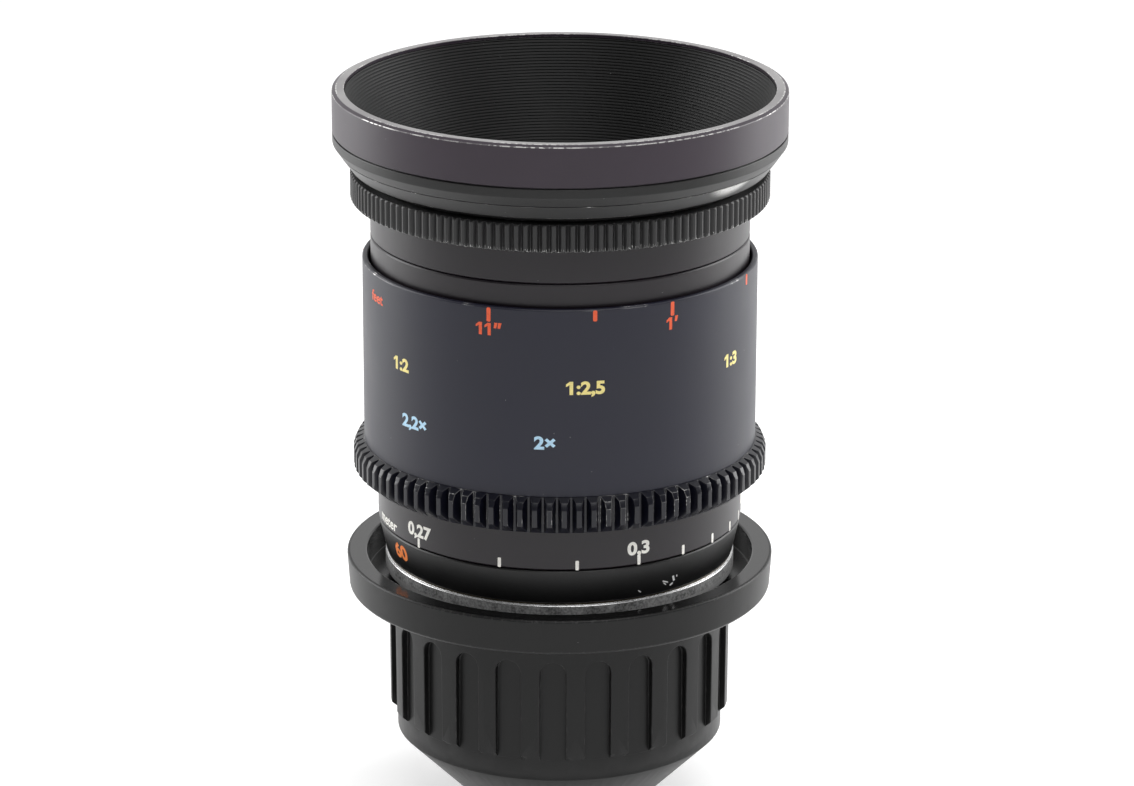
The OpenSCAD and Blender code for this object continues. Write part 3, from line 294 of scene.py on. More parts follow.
def anodised(
    name, level, tint, roughness, worn=None, wear=0.5, chip=0.9 * MM, dust=0.02, rubs=(), grain=1.0,
    plain=None, painted_reflection=None,
):
    """Anodised aluminium. worn says where the edges are worn to the metal, rubs are rubbed patches.

    plain says where the skin is a plain dark grey. The last argument says where a whole face is
    painted pale like worn metal, as a painted reflection.
    """
    finish = Finish(name)
    cloud = finish.noise(CLOUD_SIZE, 3)
    fine = finish.noise(GRAIN_SIZE, 1)
    dusty = finish.specks(DUST_SPACING, DUST_SIZE, dust)
    skin = finish.mix(cloud, grey(level * CLOUD_DARK, tint), grey(level * CLOUD_LIGHT, tint))
    if plain:
        skin = finish.mix(plain(finish), skin, PLAIN_TONE)
    skin = finish.mix(dusty, skin, DUST_TONE)
    wear_and_reflection = 0
    if worn:
        least = CHIP_START - wear * WEAR_REACH
        chips = finish.noise(chip, 4).smooth(least, least + CHIP_FADE)
        often = finish.noise(WORN_STRETCH, 2).smooth(0.35, 0.6)
        wear_and_reflection = finish.edge * worn(finish) * (THIN_SKIN + chips * often * (1 - THIN_SKIN))
    # The face chosen here is painted pale like worn metal: a painted reflection, not wear.
    if painted_reflection:
        rubbed = painted_reflection(finish) * (REFLECTION_LEAST + cloud * REFLECTION_CLOUDS)
        wear_and_reflection = rubbed.maths("MAXIMUM", wear_and_reflection)
    for rub in rubs:
        scratches = finish.noise(SCRATCH_SIZE, 5, finish.stretched((1, 1, 2)))
        rubbed = finish.spot(**rub) * scratches.smooth(*SCRATCH_LIMITS)
        wear_and_reflection = rubbed.maths("MAXIMUM", wear_and_reflection)
    colour = finish.mix(wear_and_reflection, skin, WEAR_AND_REFLECTION_TONE)
    rough = roughness + (cloud - 0.5) * CLOUD_ROUGHNESS + dusty * DUST_ROUGHNESS
    rough = rough * (1 - wear_and_reflection) + wear_and_reflection * BARE_ROUGHNESS
    normal = finish.bump(fine, GRAIN_DEPTH, GRAIN_STRENGTH * grain)
    return finish.surface(
        Base_Color=colour, Roughness=rough, Metallic=wear_and_reflection * BARE_METALLIC,
        Specular_IOR_Level=SKIN_SPECULAR, Normal=normal,
    )


print("the anodised skin is written")

# %% [markdown]
# ## Where each ring is worn
# The hood is worn all round its rim, its top face is painted pale as a painted reflection, and its
# taper below the groove is a plainer black. The front ring is chipped in places and has one rubbed
# patch, where fingers have held it. The sleeve is chipped along its top, the gear on the upper part
# of its teeth and the iris ring along the foot of its ribs. These heights are counted from the
# frame's own boxes, so the wear stays on its edge.

# %% Finishes for the metal rings
COOL = (0.68, 0.71, 1.65)
VIOLET = (1.16, 0.82, 1.20)
NEUTRAL = (1, 0.99, 1.02)
GROOVE_DEPTH = 0.45 * MM
GROOVE_MARGIN = 0.1 * MM
RIM_BAND = 0.7 * MM
RIM_FACE = 0.05 * MM
SLEEVE_BAND = 0.5 * MM
TOOTH_FOOT = 2.0 * MM
RIB_BAND = 0.75 * MM

hood_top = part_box("hood")[1]
sleeve_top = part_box("focus_sleeve")[1]
gear_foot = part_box("focus_gear")[0]
ring_foot, ring_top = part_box("iris_ring")
hood_groove = min(
    v.co.z for v in nodes["hood"].data.vertices
    if abs(v.co.xy.length - hood_top.x + GROOVE_DEPTH) < NEAR
)
print("the hood's groove starts at", round(hood_groove / MM, 2), "mm")


def round_point(turn, radius, height):
    """A point from its turn in degrees, counted from the front, its radius and its height."""
    angle = math.radians(turn - 90)
    return radius * math.cos(angle), radius * math.sin(angle), height


HOOD_RUB = {"point": round_point(49.4, 46.6 * MM, 146.8 * MM), "size": 7.5 * MM, "flat": 2.2}
# The hood's top face gets the painted reflection; the edges of its rim are worn.
hood_black = anodised(
    "hood_black", level=0.029, tint=VIOLET, roughness=0.40, wear=0.78, dust=0.04,
    worn=lambda f: f.z > hood_top.z - RIM_BAND,
    plain=lambda f: f.z < hood_groove + GROOVE_MARGIN,
    painted_reflection=lambda f: f.z > hood_top.z - RIM_FACE,
)
front_black = anodised(
    "front_black", level=0.008, tint=NEUTRAL, roughness=0.36, wear=0.4, dust=0.04,
    worn=lambda f: f.noise(7 * MM, 1).smooth(0.5, 0.62), rubs=[HOOD_RUB],
)
barrel_black = anodised("barrel_black", level=0.008, tint=VIOLET, roughness=0.36)
fixed_black = anodised("fixed_black", level=0.006, tint=NEUTRAL, roughness=0.36)
sleeve_black = anodised(
    "sleeve_black", level=0.012, tint=COOL, roughness=0.42, chip=1.5 * MM,
    worn=lambda f: (f.z > sleeve_top.z - SLEEVE_BAND) * f.noise(11 * MM, 1).smooth(0.56, 0.66),
)
gear_black = anodised(
    "gear_black", level=0.005, tint=COOL, roughness=0.30, chip=0.8 * MM,
    worn=lambda f: (f.z > gear_foot.z + TOOTH_FOOT) * f.noise(7 * MM, 1).smooth(0.5, 0.6),
)
ring_black = anodised(
    "ring_black", level=0.019, tint=NEUTRAL, roughness=0.38, chip=0.7 * MM, grain=0.3,
    worn=lambda f: f.z < ring_foot.z + RIB_BAND,
)
print("anodised finishes made")

# %% [markdown]
# ## The plastic of the rear cap
# The cap is moulded plastic with a fine satin texture outside. Inside the cup the plastic has been
# rubbed by the mount until it is glossy. The roughness is therefore worked out from the place:
# above the shoulder of the cup, and inside its outer wall, it falls.

# %% Finish of the cap
WELL_DEPTH = 5.9 * MM
WELL_FADE = 0.1 * MM
GLOSS_FADES = 0.62 * MM
GLOSS_ENDS = 0.55 * MM
WELL_TONE = grey(0.004)
WELL_GLOSS = 0.26
WELL_COAT = 0.2
WELL_COAT_ROUGHNESS = 0.12
SCUFF_TONE = grey(0.16)
SCUFF_SIZE = 0.5 * MM
SCUFF_SHARE = 0.15
SATIN_ROUGHNESS = 0.36
SATIN_SPECULAR = 0.27
SATIN_SIZE = 0.22 * MM
SATIN_DEPTH = 0.02 * MM
SATIN_STRENGTH = 0.35

cap_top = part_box("rear_cap")[1]


def moulded(name):
    """Satin plastic, glossy in the well of the cup and scuffed along its edges."""
    finish = Finish(name)
    fine = finish.noise(SATIN_SIZE, 2)
    cloud = finish.noise(18 * MM, 3)
    well_foot = cap_top.z - WELL_DEPTH
    inside = 1 - finish.radius().smooth(cap_top.x - GLOSS_FADES, cap_top.x - GLOSS_ENDS)
    in_well = finish.z.smooth(well_foot, well_foot + WELL_FADE) * inside
    scuffs = finish.noise(SCUFF_SIZE, 4, finish.stretched((1, 1, 0.25)))
    scuffed = finish.edge * scuffs.smooth(0.52, 0.66)
    dusty = finish.specks(1.3 * MM, 0.08 * MM, 0.03)
    skin = finish.mix(cloud, grey(0.005), grey(0.008))
    skin = finish.mix(in_well, skin, WELL_TONE)
    skin = finish.mix(dusty + scuffed * SCUFF_SHARE, skin, SCUFF_TONE)
    rough = SATIN_ROUGHNESS + cloud * 0.08 - in_well * WELL_GLOSS
    normal = finish.bump(fine, SATIN_DEPTH, SATIN_STRENGTH)
    return finish.surface(
        Base_Color=skin, Roughness=rough, Specular_IOR_Level=SATIN_SPECULAR, Normal=normal,
        Coat_Weight=in_well * WELL_COAT, Coat_Roughness=WELL_COAT_ROUGHNESS,
    )


cap_black = moulded("cap_black")
print("cap finish made")

# %% [markdown]
# ## Steel and brass from the lathe
# The mount is turned steel with fine lines round the axis, smudged where hands reach it and clean
# on the tube that goes into the camera. The helicoids are brass with a film of grease, and the iris
# blades are thin blackened steel. They are one recipe with other tones: lines from the lathe,
# clouds of grease, and bright edges.

# %% Finishes for turned metal
LATHE_ARC = 0.9
LATHE_DEPTH = 0.003 * MM
CLOUD_SHARE = 0.45
CLEAN_SHARE = 0.8
CLEAN_SHADE = 0.1
BRIGHT_EDGE = grey(0.85)
EDGE_SHARE = 0.8
EDGE_GLOSS = 0.2
LATHE_ROUGHNESS = 0.1
SMUDGE_ROUGHNESS = 0.1
LATHE_STRENGTH = 0.4
COLLAR_FOOT = 55.5 * MM


def turned_metal(
    name, light, dark, roughness, lines=0.25 * MM, smudge=6 * MM, metallic=1.0, clean=None,
):
    """Metal from the lathe. A low metallic stands for a dull, blasted or oxidised skin.

    clean says where hands never smudge it, as on the tube that goes into the camera.
    """
    finish = Finish(name)
    rings = finish.noise(1.0, 3, finish.round_the_axis(LATHE_ARC, lines))
    cloud = finish.noise(smudge, 5).smooth(0.35, 0.7)
    fine = finish.noise(0.5 * MM, 4).smooth(0.35, 0.65)
    shade = cloud * CLOUD_SHARE + fine * (1 - CLOUD_SHARE)
    if clean:
        untouched = clean(finish)
        shade = shade * (1 - untouched * CLEAN_SHARE) + untouched * CLEAN_SHADE
    colour = finish.mix(shade, light, dark)
    colour = finish.mix(finish.edge * EDGE_SHARE, colour, BRIGHT_EDGE)
    rough = roughness + (rings - 0.5) * LATHE_ROUGHNESS + shade * SMUDGE_ROUGHNESS
    rough = rough - finish.edge * EDGE_GLOSS
    shine = metallic + finish.edge * (1 - metallic) if metallic < 1 else metallic
    normal = finish.bump(rings, LATHE_DEPTH, LATHE_STRENGTH)
    return finish.surface(Base_Color=colour, Roughness=rough, Metallic=shine, Normal=normal)


mount_steel = turned_metal(
    "mount_steel", light=grey(0.52), dark=grey(0.12), roughness=0.42, smudge=3 * MM, metallic=0.3,
    clean=lambda f: f.z < COLLAR_FOOT,
)
# The nicks are near-white and hardly metallic, so they stay bright whatever they face: a painted
# glint on real nicks.
glinting_nick = turned_metal(
    "glinting_nick", light=grey(0.95), dark=grey(0.75), roughness=0.5, metallic=0.1
)
screw_steel = turned_metal(
    "screw_steel", light=grey(0.5), dark=grey(0.3), roughness=0.32, smudge=2 * MM
)
brass = turned_metal(
    "brass", light=(0.62, 0.44, 0.20, 1), dark=(0.34, 0.22, 0.09, 1), roughness=0.32,
    lines=0.5 * MM,
)
shim_brass = turned_metal(
    "shim_brass", light=(0.16, 0.13, 0.09, 1), dark=(0.06, 0.05, 0.03, 1), roughness=0.4
)
blade_steel = turned_metal(
    "blade_steel", light=grey(0.055), dark=grey(0.03), roughness=0.38, smudge=3 * MM
)
print("turned metals made")

# %% [markdown]
# ## The matt black inside, and the glass
# The baffle and the lens cells are painted a dull black that swallows stray light, with dust on it.
# The glass carries a coating that tints its reflections violet. A tinted coat over clear glass
# does that without colouring what is seen through it.

# %% Finishes for the inside
INNER_DUST_TONE = grey(0.16)
INNER_GRAIN = 0.12 * MM
INNER_GRAIN_DEPTH = 0.02 * MM
INNER_SPECULAR = 0.3
VIOLET_COATING = (0.55, 0.45, 0.95, 1)
CLEAR = (0.93, 0.95, 1, 1)
GLASS_IOR = 1.55
LEAST_COATING = 0.25


def matt_black(name, level, roughness):
    """Dull black paint with dust and slightly rubbed edges."""
    finish = Finish(name)
    fine = finish.noise(INNER_GRAIN, 2)
    cloud = finish.noise(9 * MM, 3)
    dusty = finish.specks(1.2 * MM, 0.10 * MM, 0.05)
    rubbed = finish.edge * cloud.smooth(0.5, 0.7) * 0.5
    skin = finish.mix(cloud, grey(level * 0.8), grey(level * 1.25))
    skin = finish.mix(dusty + rubbed, skin, INNER_DUST_TONE)
    normal = finish.bump(fine, INNER_GRAIN_DEPTH, 0.5)
    rough = roughness + cloud * 0.1
    return finish.surface(
        Base_Color=skin, Roughness=rough, Specular_IOR_Level=INNER_SPECULAR, Normal=normal,
    )


def coated_glass(name):
    """Clear glass under a violet coating, with a little haze."""
    finish = Finish(name)
    haze = finish.noise(8 * MM, 3).smooth(0.45, 0.8)
    return finish.surface(
        Base_Color=CLEAR, Roughness=haze * 0.03, IOR=GLASS_IOR, Transmission_Weight=1.0,
        Coat_Weight=haze * 0.1 + LEAST_COATING, Coat_Tint=VIOLET_COATING,
    )


baffle_black = matt_black("baffle_black", level=0.003, roughness=0.46)
cell_black = matt_black("cell_black", level=0.008, roughness=0.5)
glass = coated_glass("glass")
print("inner finishes made")

# %% [markdown]
# ## Engraving paint
# Each number is cut into the metal and filled with paint, which is matt, a little uneven, and thin
# where it has been wiped. Four colours keep the scales apart and a fifth marks the barrel.

# %% Paints
PAINT_ROUGHNESS = 0.55
THIN_PAINT = 0.6
THIN_SHARE = 0.3
PAINT_GRAIN = 0.5 * MM
PAINT_DEPTH = 0.02 * MM
WORN_SPOT = 0.9 * MM


def paint(name, colour, fill=0.25):
    """Engraving paint. fill says how strongly its tone changes from place to place."""
    finish = Finish(name)
    uneven = finish.noise(PAINT_GRAIN, 3)
    worn = finish.noise(WORN_SPOT, 4).smooth(0.60, 0.72)
    dim = tuple(part * THIN_PAINT for part in colour[:3]) + (1,)
    shade = finish.mix(uneven.smooth(0.3, 0.7) * fill + worn * THIN_SHARE, colour, dim)
    normal = finish.bump(uneven, PAINT_DEPTH, 0.5)
    return finish.surface(Base_Color=shade, Roughness=PAINT_ROUGHNESS, Normal=normal)


red_paint = paint("red_paint", (0.92, 0.13, 0.045, 1))
yellow_paint = paint("yellow_paint", (1.0, 0.85, 0.32, 1))
blue_paint = paint("blue_paint", (0.54, 0.80, 1.0, 1))
white_paint = paint("white_paint", (1.0, 0.98, 0.92, 1), fill=0.15)
orange_paint = paint("orange_paint", (1.0, 0.26, 0.05, 1), fill=0.15)
print("paints made")

# %% [markdown]
# ## Dressing the CAD nodes
# Pieces that nobody sees closely keep the CAD mesh and only get a finish. The table says which
# finish belongs to which slot of the record.

# %% Give every CAD node its finish
SLOT_FINISHES = {
    "cap_black": cap_black,
    "mount_steel": mount_steel,
    "screw_steel": screw_steel,
    "brass": brass,
    "barrel_black": barrel_black,
    "sleeve_black": sleeve_black,
    "gear_black": gear_black,
    "iris_ring_black": ring_black,
    "front_black": hood_black,
    "baffle_black": baffle_black,
    "cell_black": cell_black,
    "glass": glass,
    "blade_steel": blade_steel,
}
slot_of = {part["node"]: part["material_slot"] for part in frame["record"]["subparts"]}
body_of = {
    node: body
    for body, members in frame["record"]["behaviour"]["bodies"].items()
    for node in members
}
for name, node in nodes.items():
    node.data.materials.clear()
    node.data.materials.append(SLOT_FINISHES[slot_of[name]].material)
nodes["focus_shim"].data.materials[0] = shim_brass.material
print("dressed", len(nodes), "nodes")

# %% [markdown]
# ## From a turned CAD node to a finer ring
# A turned ring in the frame is a closed outline swept round the axis in coarse steps. Its outline
# can be read back from the mesh: each vertex has a radius and a height, and the mesh's edges say
# which corner follows which. Spinning that outline in finer steps gives a ring of exactly the
# CAD's size.

# %% Read an outline and spin it
TURN_STEPS = 240
DECIMALS = 6


def outline_of(node):
    """The closed outline of a turned CAD node, as (radius, height) corners in order."""
    mesh = nodes[node].data
    corners = [(round(v.co.xy.length, DECIMALS), round(v.co.z, DECIMALS)) for v in mesh.vertices]
    follows = {}
    for edge in mesh.edges:
        first, second = (corners[i] for i in edge.vertices)
        if first != second:
            follows.setdefault(first, set()).add(second)
            follows.setdefault(second, set()).add(first)
    start = max(follows)
    path = [start, min(follows[start])]
    while True:
        onward = follows[path[-1]] - {path[-2]}
        following = min(onward)
        if following == start:
            return path
        path.append(following)


def spun(outline, steps=TURN_STEPS):
    """A closed ring: the outline turned once round the optical axis."""
    bm = bmesh.new()
    bm.faces.layers.float.new("edge")
    corners = [bm.verts.new((radius, 0, height)) for radius, height in outline]
    for first, second in zip(corners, corners[1:] + corners[:1]):
        bm.edges.new((first, second))
    bmesh.ops.spin(
        bm, geom=bm.verts[:] + bm.edges[:], cent=(0, 0, 0), axis=(0, 0, 1),
        angle=math.tau, steps=steps, use_merge=True,
    )
    bmesh.ops.remove_doubles(bm, verts=bm.verts, dist=TOUCHING)
    bmesh.ops.recalc_face_normals(bm, faces=bm.faces)
    return bm


print("the sleeve's outline has", len(outline_of("focus_sleeve")), "corners")

# %% [markdown]
# ## Breaking the edges
# No machined edge is perfectly sharp, and the light that a small bevel catches is what makes metal
# look like metal. Rings with teeth or recesses can't be spun, so they start from a merged copy of
# the CAD mesh. The bevel then works on every sharp edge that shows, and its new faces are marked
# with the attribute edge, which the finishes read.

# %% Copy a node and break edges
SHARP = math.radians(22)
STILL_SHARP = math.radians(50)
FLAT = math.radians(0.4)
SAME_CORNER = MM / 1000


def merged_copy(node):
    """A CAD node's mesh with its loose triangles joined and its flat faces made whole."""
    bm = bmesh.new()
    bm.from_mesh(nodes[node].data)
    bm.faces.layers.float.new("edge")
    bmesh.ops.remove_doubles(bm, verts=bm.verts, dist=SAME_CORNER)
    bmesh.ops.dissolve_limit(
        bm, angle_limit=FLAT, verts=bm.verts, edges=bm.edges, delimit={"NORMAL"}
    )
    return bm


def break_edges(bm, width, segments=2, shown=None):
    """Rounds the sharp edges that show, and marks the new faces with the attribute edge."""
    mark = bm.faces.layers.float["edge"]
    sharp = []
    for edge in bm.edges:
        middle = (edge.verts[0].co + edge.verts[1].co) / 2
        if edge.calc_face_angle(0) > SHARP and (shown is None or shown(middle.xy.length, middle.z)):
            sharp.append(edge)
    made = bmesh.ops.bevel(
        bm, geom=sharp, offset=width, offset_type="OFFSET", segments=segments, profile=0.5,
        affect="EDGES", clamp_overlap=False, material=-1,
    )
    for face in made["faces"]:
        face[mark] = 1.0
    for edge in bm.edges:
        edge.smooth = edge.calc_face_angle(0) < STILL_SHARP
    return bm


print("edges sharper than", round(math.degrees(SHARP)), "degrees will be broken")

# %% [markdown]
# ## From a bmesh to a piece on its body
# A piece needs a finish, smooth shading that stops at the sharp edges, and the body that it moves
# with. Where it stands in for a CAD node, that node is hidden.

# %% Make a piece, and dress a node
def piece(name, bm, body, finish, replaces=None, smooth=True):
    """Makes an object of a bmesh, on its body, in place of the CAD node that it dresses."""
    mesh = bpy.data.meshes.new(name)
    bm.to_mesh(mesh)
    bm.free()
    mesh.materials.append(finish.material)
    for polygon in mesh.polygons:
        polygon.use_smooth = smooth
    made = bpy.data.objects.new(name, mesh)
    scene.collection.objects.link(made)
    if smooth:
        made.modifiers.new("even_shading", "WEIGHTED_NORMAL").keep_sharp = True
    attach(made, body)
    if replaces:
        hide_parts(replaces)
    print(name, "has", len(mesh.polygons), "faces")


def dress_turned(node, width, finish, segments=2):
    """A finer copy of a turned node, with broken edges."""
    bm = break_edges(spun(outline_of(node)), width, segments)
    piece(node + "_turned", bm, body_of[node], finish, node)


def dress_cut(node, width, finish, segments=2, shown=None):
    """A copy of a node that has teeth, slots or recesses, with broken edges."""
    bm = break_edges(merged_copy(node), width, segments, shown)
    piece(node + "_cut", bm, body_of[node], finish, node)


print("pieces can be made for", len(body_of), "nodes")

# %% [markdown]
# ## The turned rings
# Hood, front ring, barrels, sleeve and scale ring are plain turned work. The hood has the widest
# breaks, because its rim has met every table the lens was put down on.

# %% Turn the rings
HOOD_BREAK = 0.14 * MM
OUTER_BREAK = 0.12 * MM
FINE_BREAK = 0.10 * MM

dress_turned("hood", HOOD_BREAK, hood_black, segments=3)
dress_turned("front_ring", OUTER_BREAK, front_black)
dress_turned("moving_barrel", FINE_BREAK, barrel_black)
dress_turned("focus_sleeve", OUTER_BREAK, sleeve_black)
dress_turned("metre_scale_ring", FINE_BREAK, barrel_black)

# %% [markdown]
# ## The baffle
# Inside the hood a cone leads down to the front glass. It is cut with fine ridges that throw stray
# light back. The CAD has them coarse; here they get their real pitch of 0.6 mm. A bump map would
# look flat against the rim, so the ridges are real: one outline with a crest and a hollow for
# each, spun round the axis.

# %% Spin the baffle
RIDGE_PITCH = 0.6 * MM
RIDGE_DEPTH = 0.22 * MM
CREST_SHARE = 0.35
FLANK_SHARE = 0.2
BAFFLE_STEPS = 200

baffle_low, baffle_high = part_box("hood_baffle")
baffle_corners = outline_of("hood_baffle")
baffle_wall_foot = max(c for c in baffle_corners if c[1] < baffle_low.z + NEAR)
baffle_wall_top = max(baffle_corners)
inner_foot = min(c for c in baffle_corners if c[1] < baffle_low.z + NEAR)
inner_top = min(c for c in baffle_corners if c[1] > baffle_high.z - NEAR)
ridges = round((inner_top[1] - inner_foot[1]) / RIDGE_PITCH)


def along_cone(share, depth=0):
    """A point on the inner cone, from its top at 0 to its foot at 1, depth into the wall."""
    radius = inner_top[0] + (inner_foot[0] - inner_top[0]) * share
    height = inner_top[1] + (inner_foot[1] - inner_top[1]) * share
    return radius + depth, height


baffle_outline = [baffle_wall_foot, baffle_wall_top]
for ridge in range(ridges):
    crest_ends = ridge + CREST_SHARE
    baffle_outline.append(along_cone(ridge / ridges))
    baffle_outline.append(along_cone(crest_ends / ridges))
    baffle_outline.append(along_cone((crest_ends + FLANK_SHARE) / ridges, RIDGE_DEPTH))
baffle_outline.append(inner_foot)
piece(
    "hood_baffle_ridged", spun(baffle_outline, BAFFLE_STEPS), "front", baffle_black,
    "hood_baffle", smooth=False,
)
print("baffle has", ridges, "ridges")

# %% [markdown]
# ## The follow focus gear
# The gear's teeth are cut all round and bevelled above and below, so it starts from a merged copy
# of its CAD mesh. Only edges on the teeth are broken, because those of the bore are hidden.

# %% Break the edges of the gear
GEAR_BREAK = 0.08 * MM
GEAR_SHOWS = 40 * MM

dress_cut("focus_gear", GEAR_BREAK, gear_black, shown=lambda radius, height: radius > GEAR_SHOWS)

# %% [markdown]
# ## The ribs of the iris ring
# The ribs of the real ring stand close together, with narrow valleys. The CAD keeps the valleys
# wide, and their flat floors would shine as one pale stripe. Turning the two feet of each rib a
# little outwards narrows them, and the outline of the ring stays as it is.

# %% Narrow the valleys and break the ribs
IRIS_RIBS = 144
IRIS_VALLEY_RADIUS = ring_top.x - 0.75 * MM
ON_THE_FLOOR = 0.03 * MM
VALLEY_SIDE = 0.76
SIDE_WIDTH = 0.05
WRAP_MARGIN = 0.1
VALLEY_CLOSES = 0.09
RIB_BREAK = 0.05 * MM
RIBS_SHOW = 42 * MM


def narrow_valleys(bm):
    """Turns both feet of each rib outwards, so that the valleys between the ribs are narrow."""
    pitch = math.tau / IRIS_RIBS
    for v in bm.verts:
        if abs(v.co.xy.length - IRIS_VALLEY_RADIUS) > ON_THE_FLOOR:
            continue
        share = (math.atan2(v.co.y, v.co.x) / pitch + WRAP_MARGIN) % 1 - WRAP_MARGIN
        way = 1 if abs(share - VALLEY_SIDE) < SIDE_WIDTH else -1
        v.co.rotate(Matrix.Rotation(way * VALLEY_CLOSES * pitch, 3, "Z"))


iris_bm = merged_copy("iris_ring")
narrow_valleys(iris_bm)
break_edges(iris_bm, RIB_BREAK, shown=lambda radius, height: radius > RIBS_SHOW)
piece("iris_ring_cut", iris_bm, body_of["iris_ring"], ring_black, "iris_ring")

# %% [markdown]
# ## Barrels, mount and cap
# Two barrels have slots or holes, the mount has its ears and the cap its finger recesses, so they
# start from merged copies too. On the mount and the cap only the upper edges are broken, because
# some of those lower down lie so close together that a bevel would fold them.

# %% Break the edges of barrels, mount and cap
CAP_BREAK = 0.20 * MM
CAP_SHOWS = 24 * MM

dress_cut("fixed_barrel", FINE_BREAK, fixed_black)
dress_cut("upper_barrel", FINE_BREAK, barrel_black)
dress_cut("lens_mount", FINE_BREAK, mount_steel, shown=lambda radius, height: height > COLLAR_FOOT)
dress_cut(
    "rear_cap", CAP_BREAK, cap_black, segments=3, shown=lambda radius, height: height > CAP_SHOWS
)

# %% [markdown]
# ## Where a distance sits on the dial
# The spacing of the marks is not arbitrary. The focusing thread moves the front by a fixed amount
# for each degree, and a lens of focal length f at distance d needs an extension of f times the
# magnification m, where d = f (2 + m + 1/m). One formula therefore places every distance mark, in
# metres and in feet, on the visible side and on the far side.

# %% The dial's formula
FOCAL_LENGTH = 60 * MM
TURN_PER_METRE = math.radians(10.52) / MM
INFINITY_TURN = math.radians(266.3)
FOOT = 0.3048


def dial_turn(distance):
    """The azimuth of a focusing distance, counted from the front of the lens."""
    if math.isinf(distance):
        return INFINITY_TURN
    sum_of_ratios = distance / FOCAL_LENGTH - 2
    magnification = (sum_of_ratios - math.sqrt(sum_of_ratios**2 - 4)) / 2
    return INFINITY_TURN - FOCAL_LENGTH * magnification * TURN_PER_METRE


print("0,3 m sits at", round(math.degrees(dial_turn(0.3)), 1), "degrees from the front")

# %% [markdown]
# ## Where a pixel meets a barrel
# Words and ratios have no formula, so they go where the photograph shows them. A ray from the
# camera through a pixel meets the barrel's cylinder at a turn and a height, and a quadratic
# equation gives the nearer of the two crossings.

# %% From a pixel to a place on a barrel
def photo_spot(pixel, radius):
    """Turn from the front, and height, where a pixel of the photograph meets a barrel."""
    view = camera.matrix_world
    across = (pixel[0] - PHOTO_WIDTH / 2) / FOCAL_PX
    up = (PHOTO_HEIGHT / 2 - pixel[1]) / FOCAL_PX
    ray = view.to_3x3() @ Vector((across, up, -1))
    eye = view.translation
    a = ray.xy.length_squared
    b = 2 * eye.xy.dot(ray.xy)
    c = eye.xy.length_squared - radius**2
    reach = (-b - math.sqrt(b * b - 4 * a * c)) / (2 * a)
    spot = eye + ray * reach
    return math.atan2(spot.y, spot.x) + math.pi / 2, spot.z


print("pixels can be traced to the barrels")

# %% [markdown]
# ## Flat numbers and ticks
# A number starts as Blender text and is made a mesh while it is still flat. Blender's own font
# writes a 1 as a plain bar, so each tall bar of four corners gets the slanted flag of a real 1.

# %% Draw numbers and ticks
UNIT_CAPITALS = 1.38
CURVE_STEPS = 6
TALL = 0.9
FLAG = ((0.01, 0, 0), (-0.24, -0.22, 0), (-0.24, -0.42, 0), (0.01, -0.26, 0))
TICK_CORNER = 0.3


def add_flags(bm):
    """Gives each 1, which is a plain bar in Blender's own font, the slanted flag of a real 1."""
    waiting = set(bm.verts)
    while waiting:
        letter = {waiting.pop()}
        border = list(letter)
        while border:
            vert = border.pop()
            fresh = {edge.other_vert(vert) for edge in vert.link_edges} - letter
            letter |= fresh
            border += fresh
        waiting -= letter
        tall = max(v.co.y for v in letter) - min(v.co.y for v in letter) > TALL
        if len(letter) == 4 and tall:
            corner = min(letter, key=lambda v: v.co.x - v.co.y).co.copy()
            bm.faces.new([bm.verts.new(corner + Vector(step)) for step in FLAG])


def flat_text(words, height, boldness=0.055, spread=1.12):
    """Text as a flat mesh, its capitals of the given height and centred on the origin.

    It is filled at a height of one metre and then made small, because Blender's fill loses
    letters whose outlines are only hundredths of a millimetre apart.
    """
    curve = bpy.data.curves.new("words", "FONT")
    curve.body = words
    curve.align_x = "CENTER"
    curve.align_y = "BOTTOM_BASELINE"
    curve.size = UNIT_CAPITALS
    curve.offset = boldness
    curve.resolution_u = CURVE_STEPS
    holder = bpy.data.objects.new("words", curve)
    mesh = bpy.data.meshes.new_from_object(holder)
    bm = bmesh.new()
    bm.from_mesh(mesh)
    bpy.data.objects.remove(holder)
    bpy.data.curves.remove(curve)
    bpy.data.meshes.remove(mesh)
    bmesh.ops.remove_doubles(bm, verts=bm.verts, dist=MM)
    add_flags(bm)
    bmesh.ops.translate(bm, verts=bm.verts, vec=(0, -0.5, 0))
    bmesh.ops.scale(bm, verts=bm.verts, vec=(height * spread, height, 1))
    return bm


def flat_tick(width, length):
    """A short line, a little rounded at its corners."""
    bm = bmesh.new()
    bmesh.ops.create_grid(bm, x_segments=1, y_segments=1, size=0.5)
    bmesh.ops.scale(bm, verts=bm.verts, vec=(width, length, 1))
    bmesh.ops.bevel(
        bm, geom=bm.verts[:], offset=width * TICK_CORNER, offset_type="OFFSET", segments=2,
        profile=0.5, affect="VERTICES", clamp_overlap=True, material=-1,
    )
    return bm


print("numbers and ticks can be drawn")

# %% [markdown]
# ## Wrapping a drawing round a barrel
# A flat drawing has to bend with the barrel. Its faces are first cut into narrow strips, then get
# the thickness of the paint, and last each vertex goes to its turn, radius and height. Faces that
# look down are turned over before that, or their letters would sink into the metal.

# %% Wrap drawings and join them
STRIP = 0.5 * MM
INK = 0.06 * MM
PROUD = 0.02 * MM


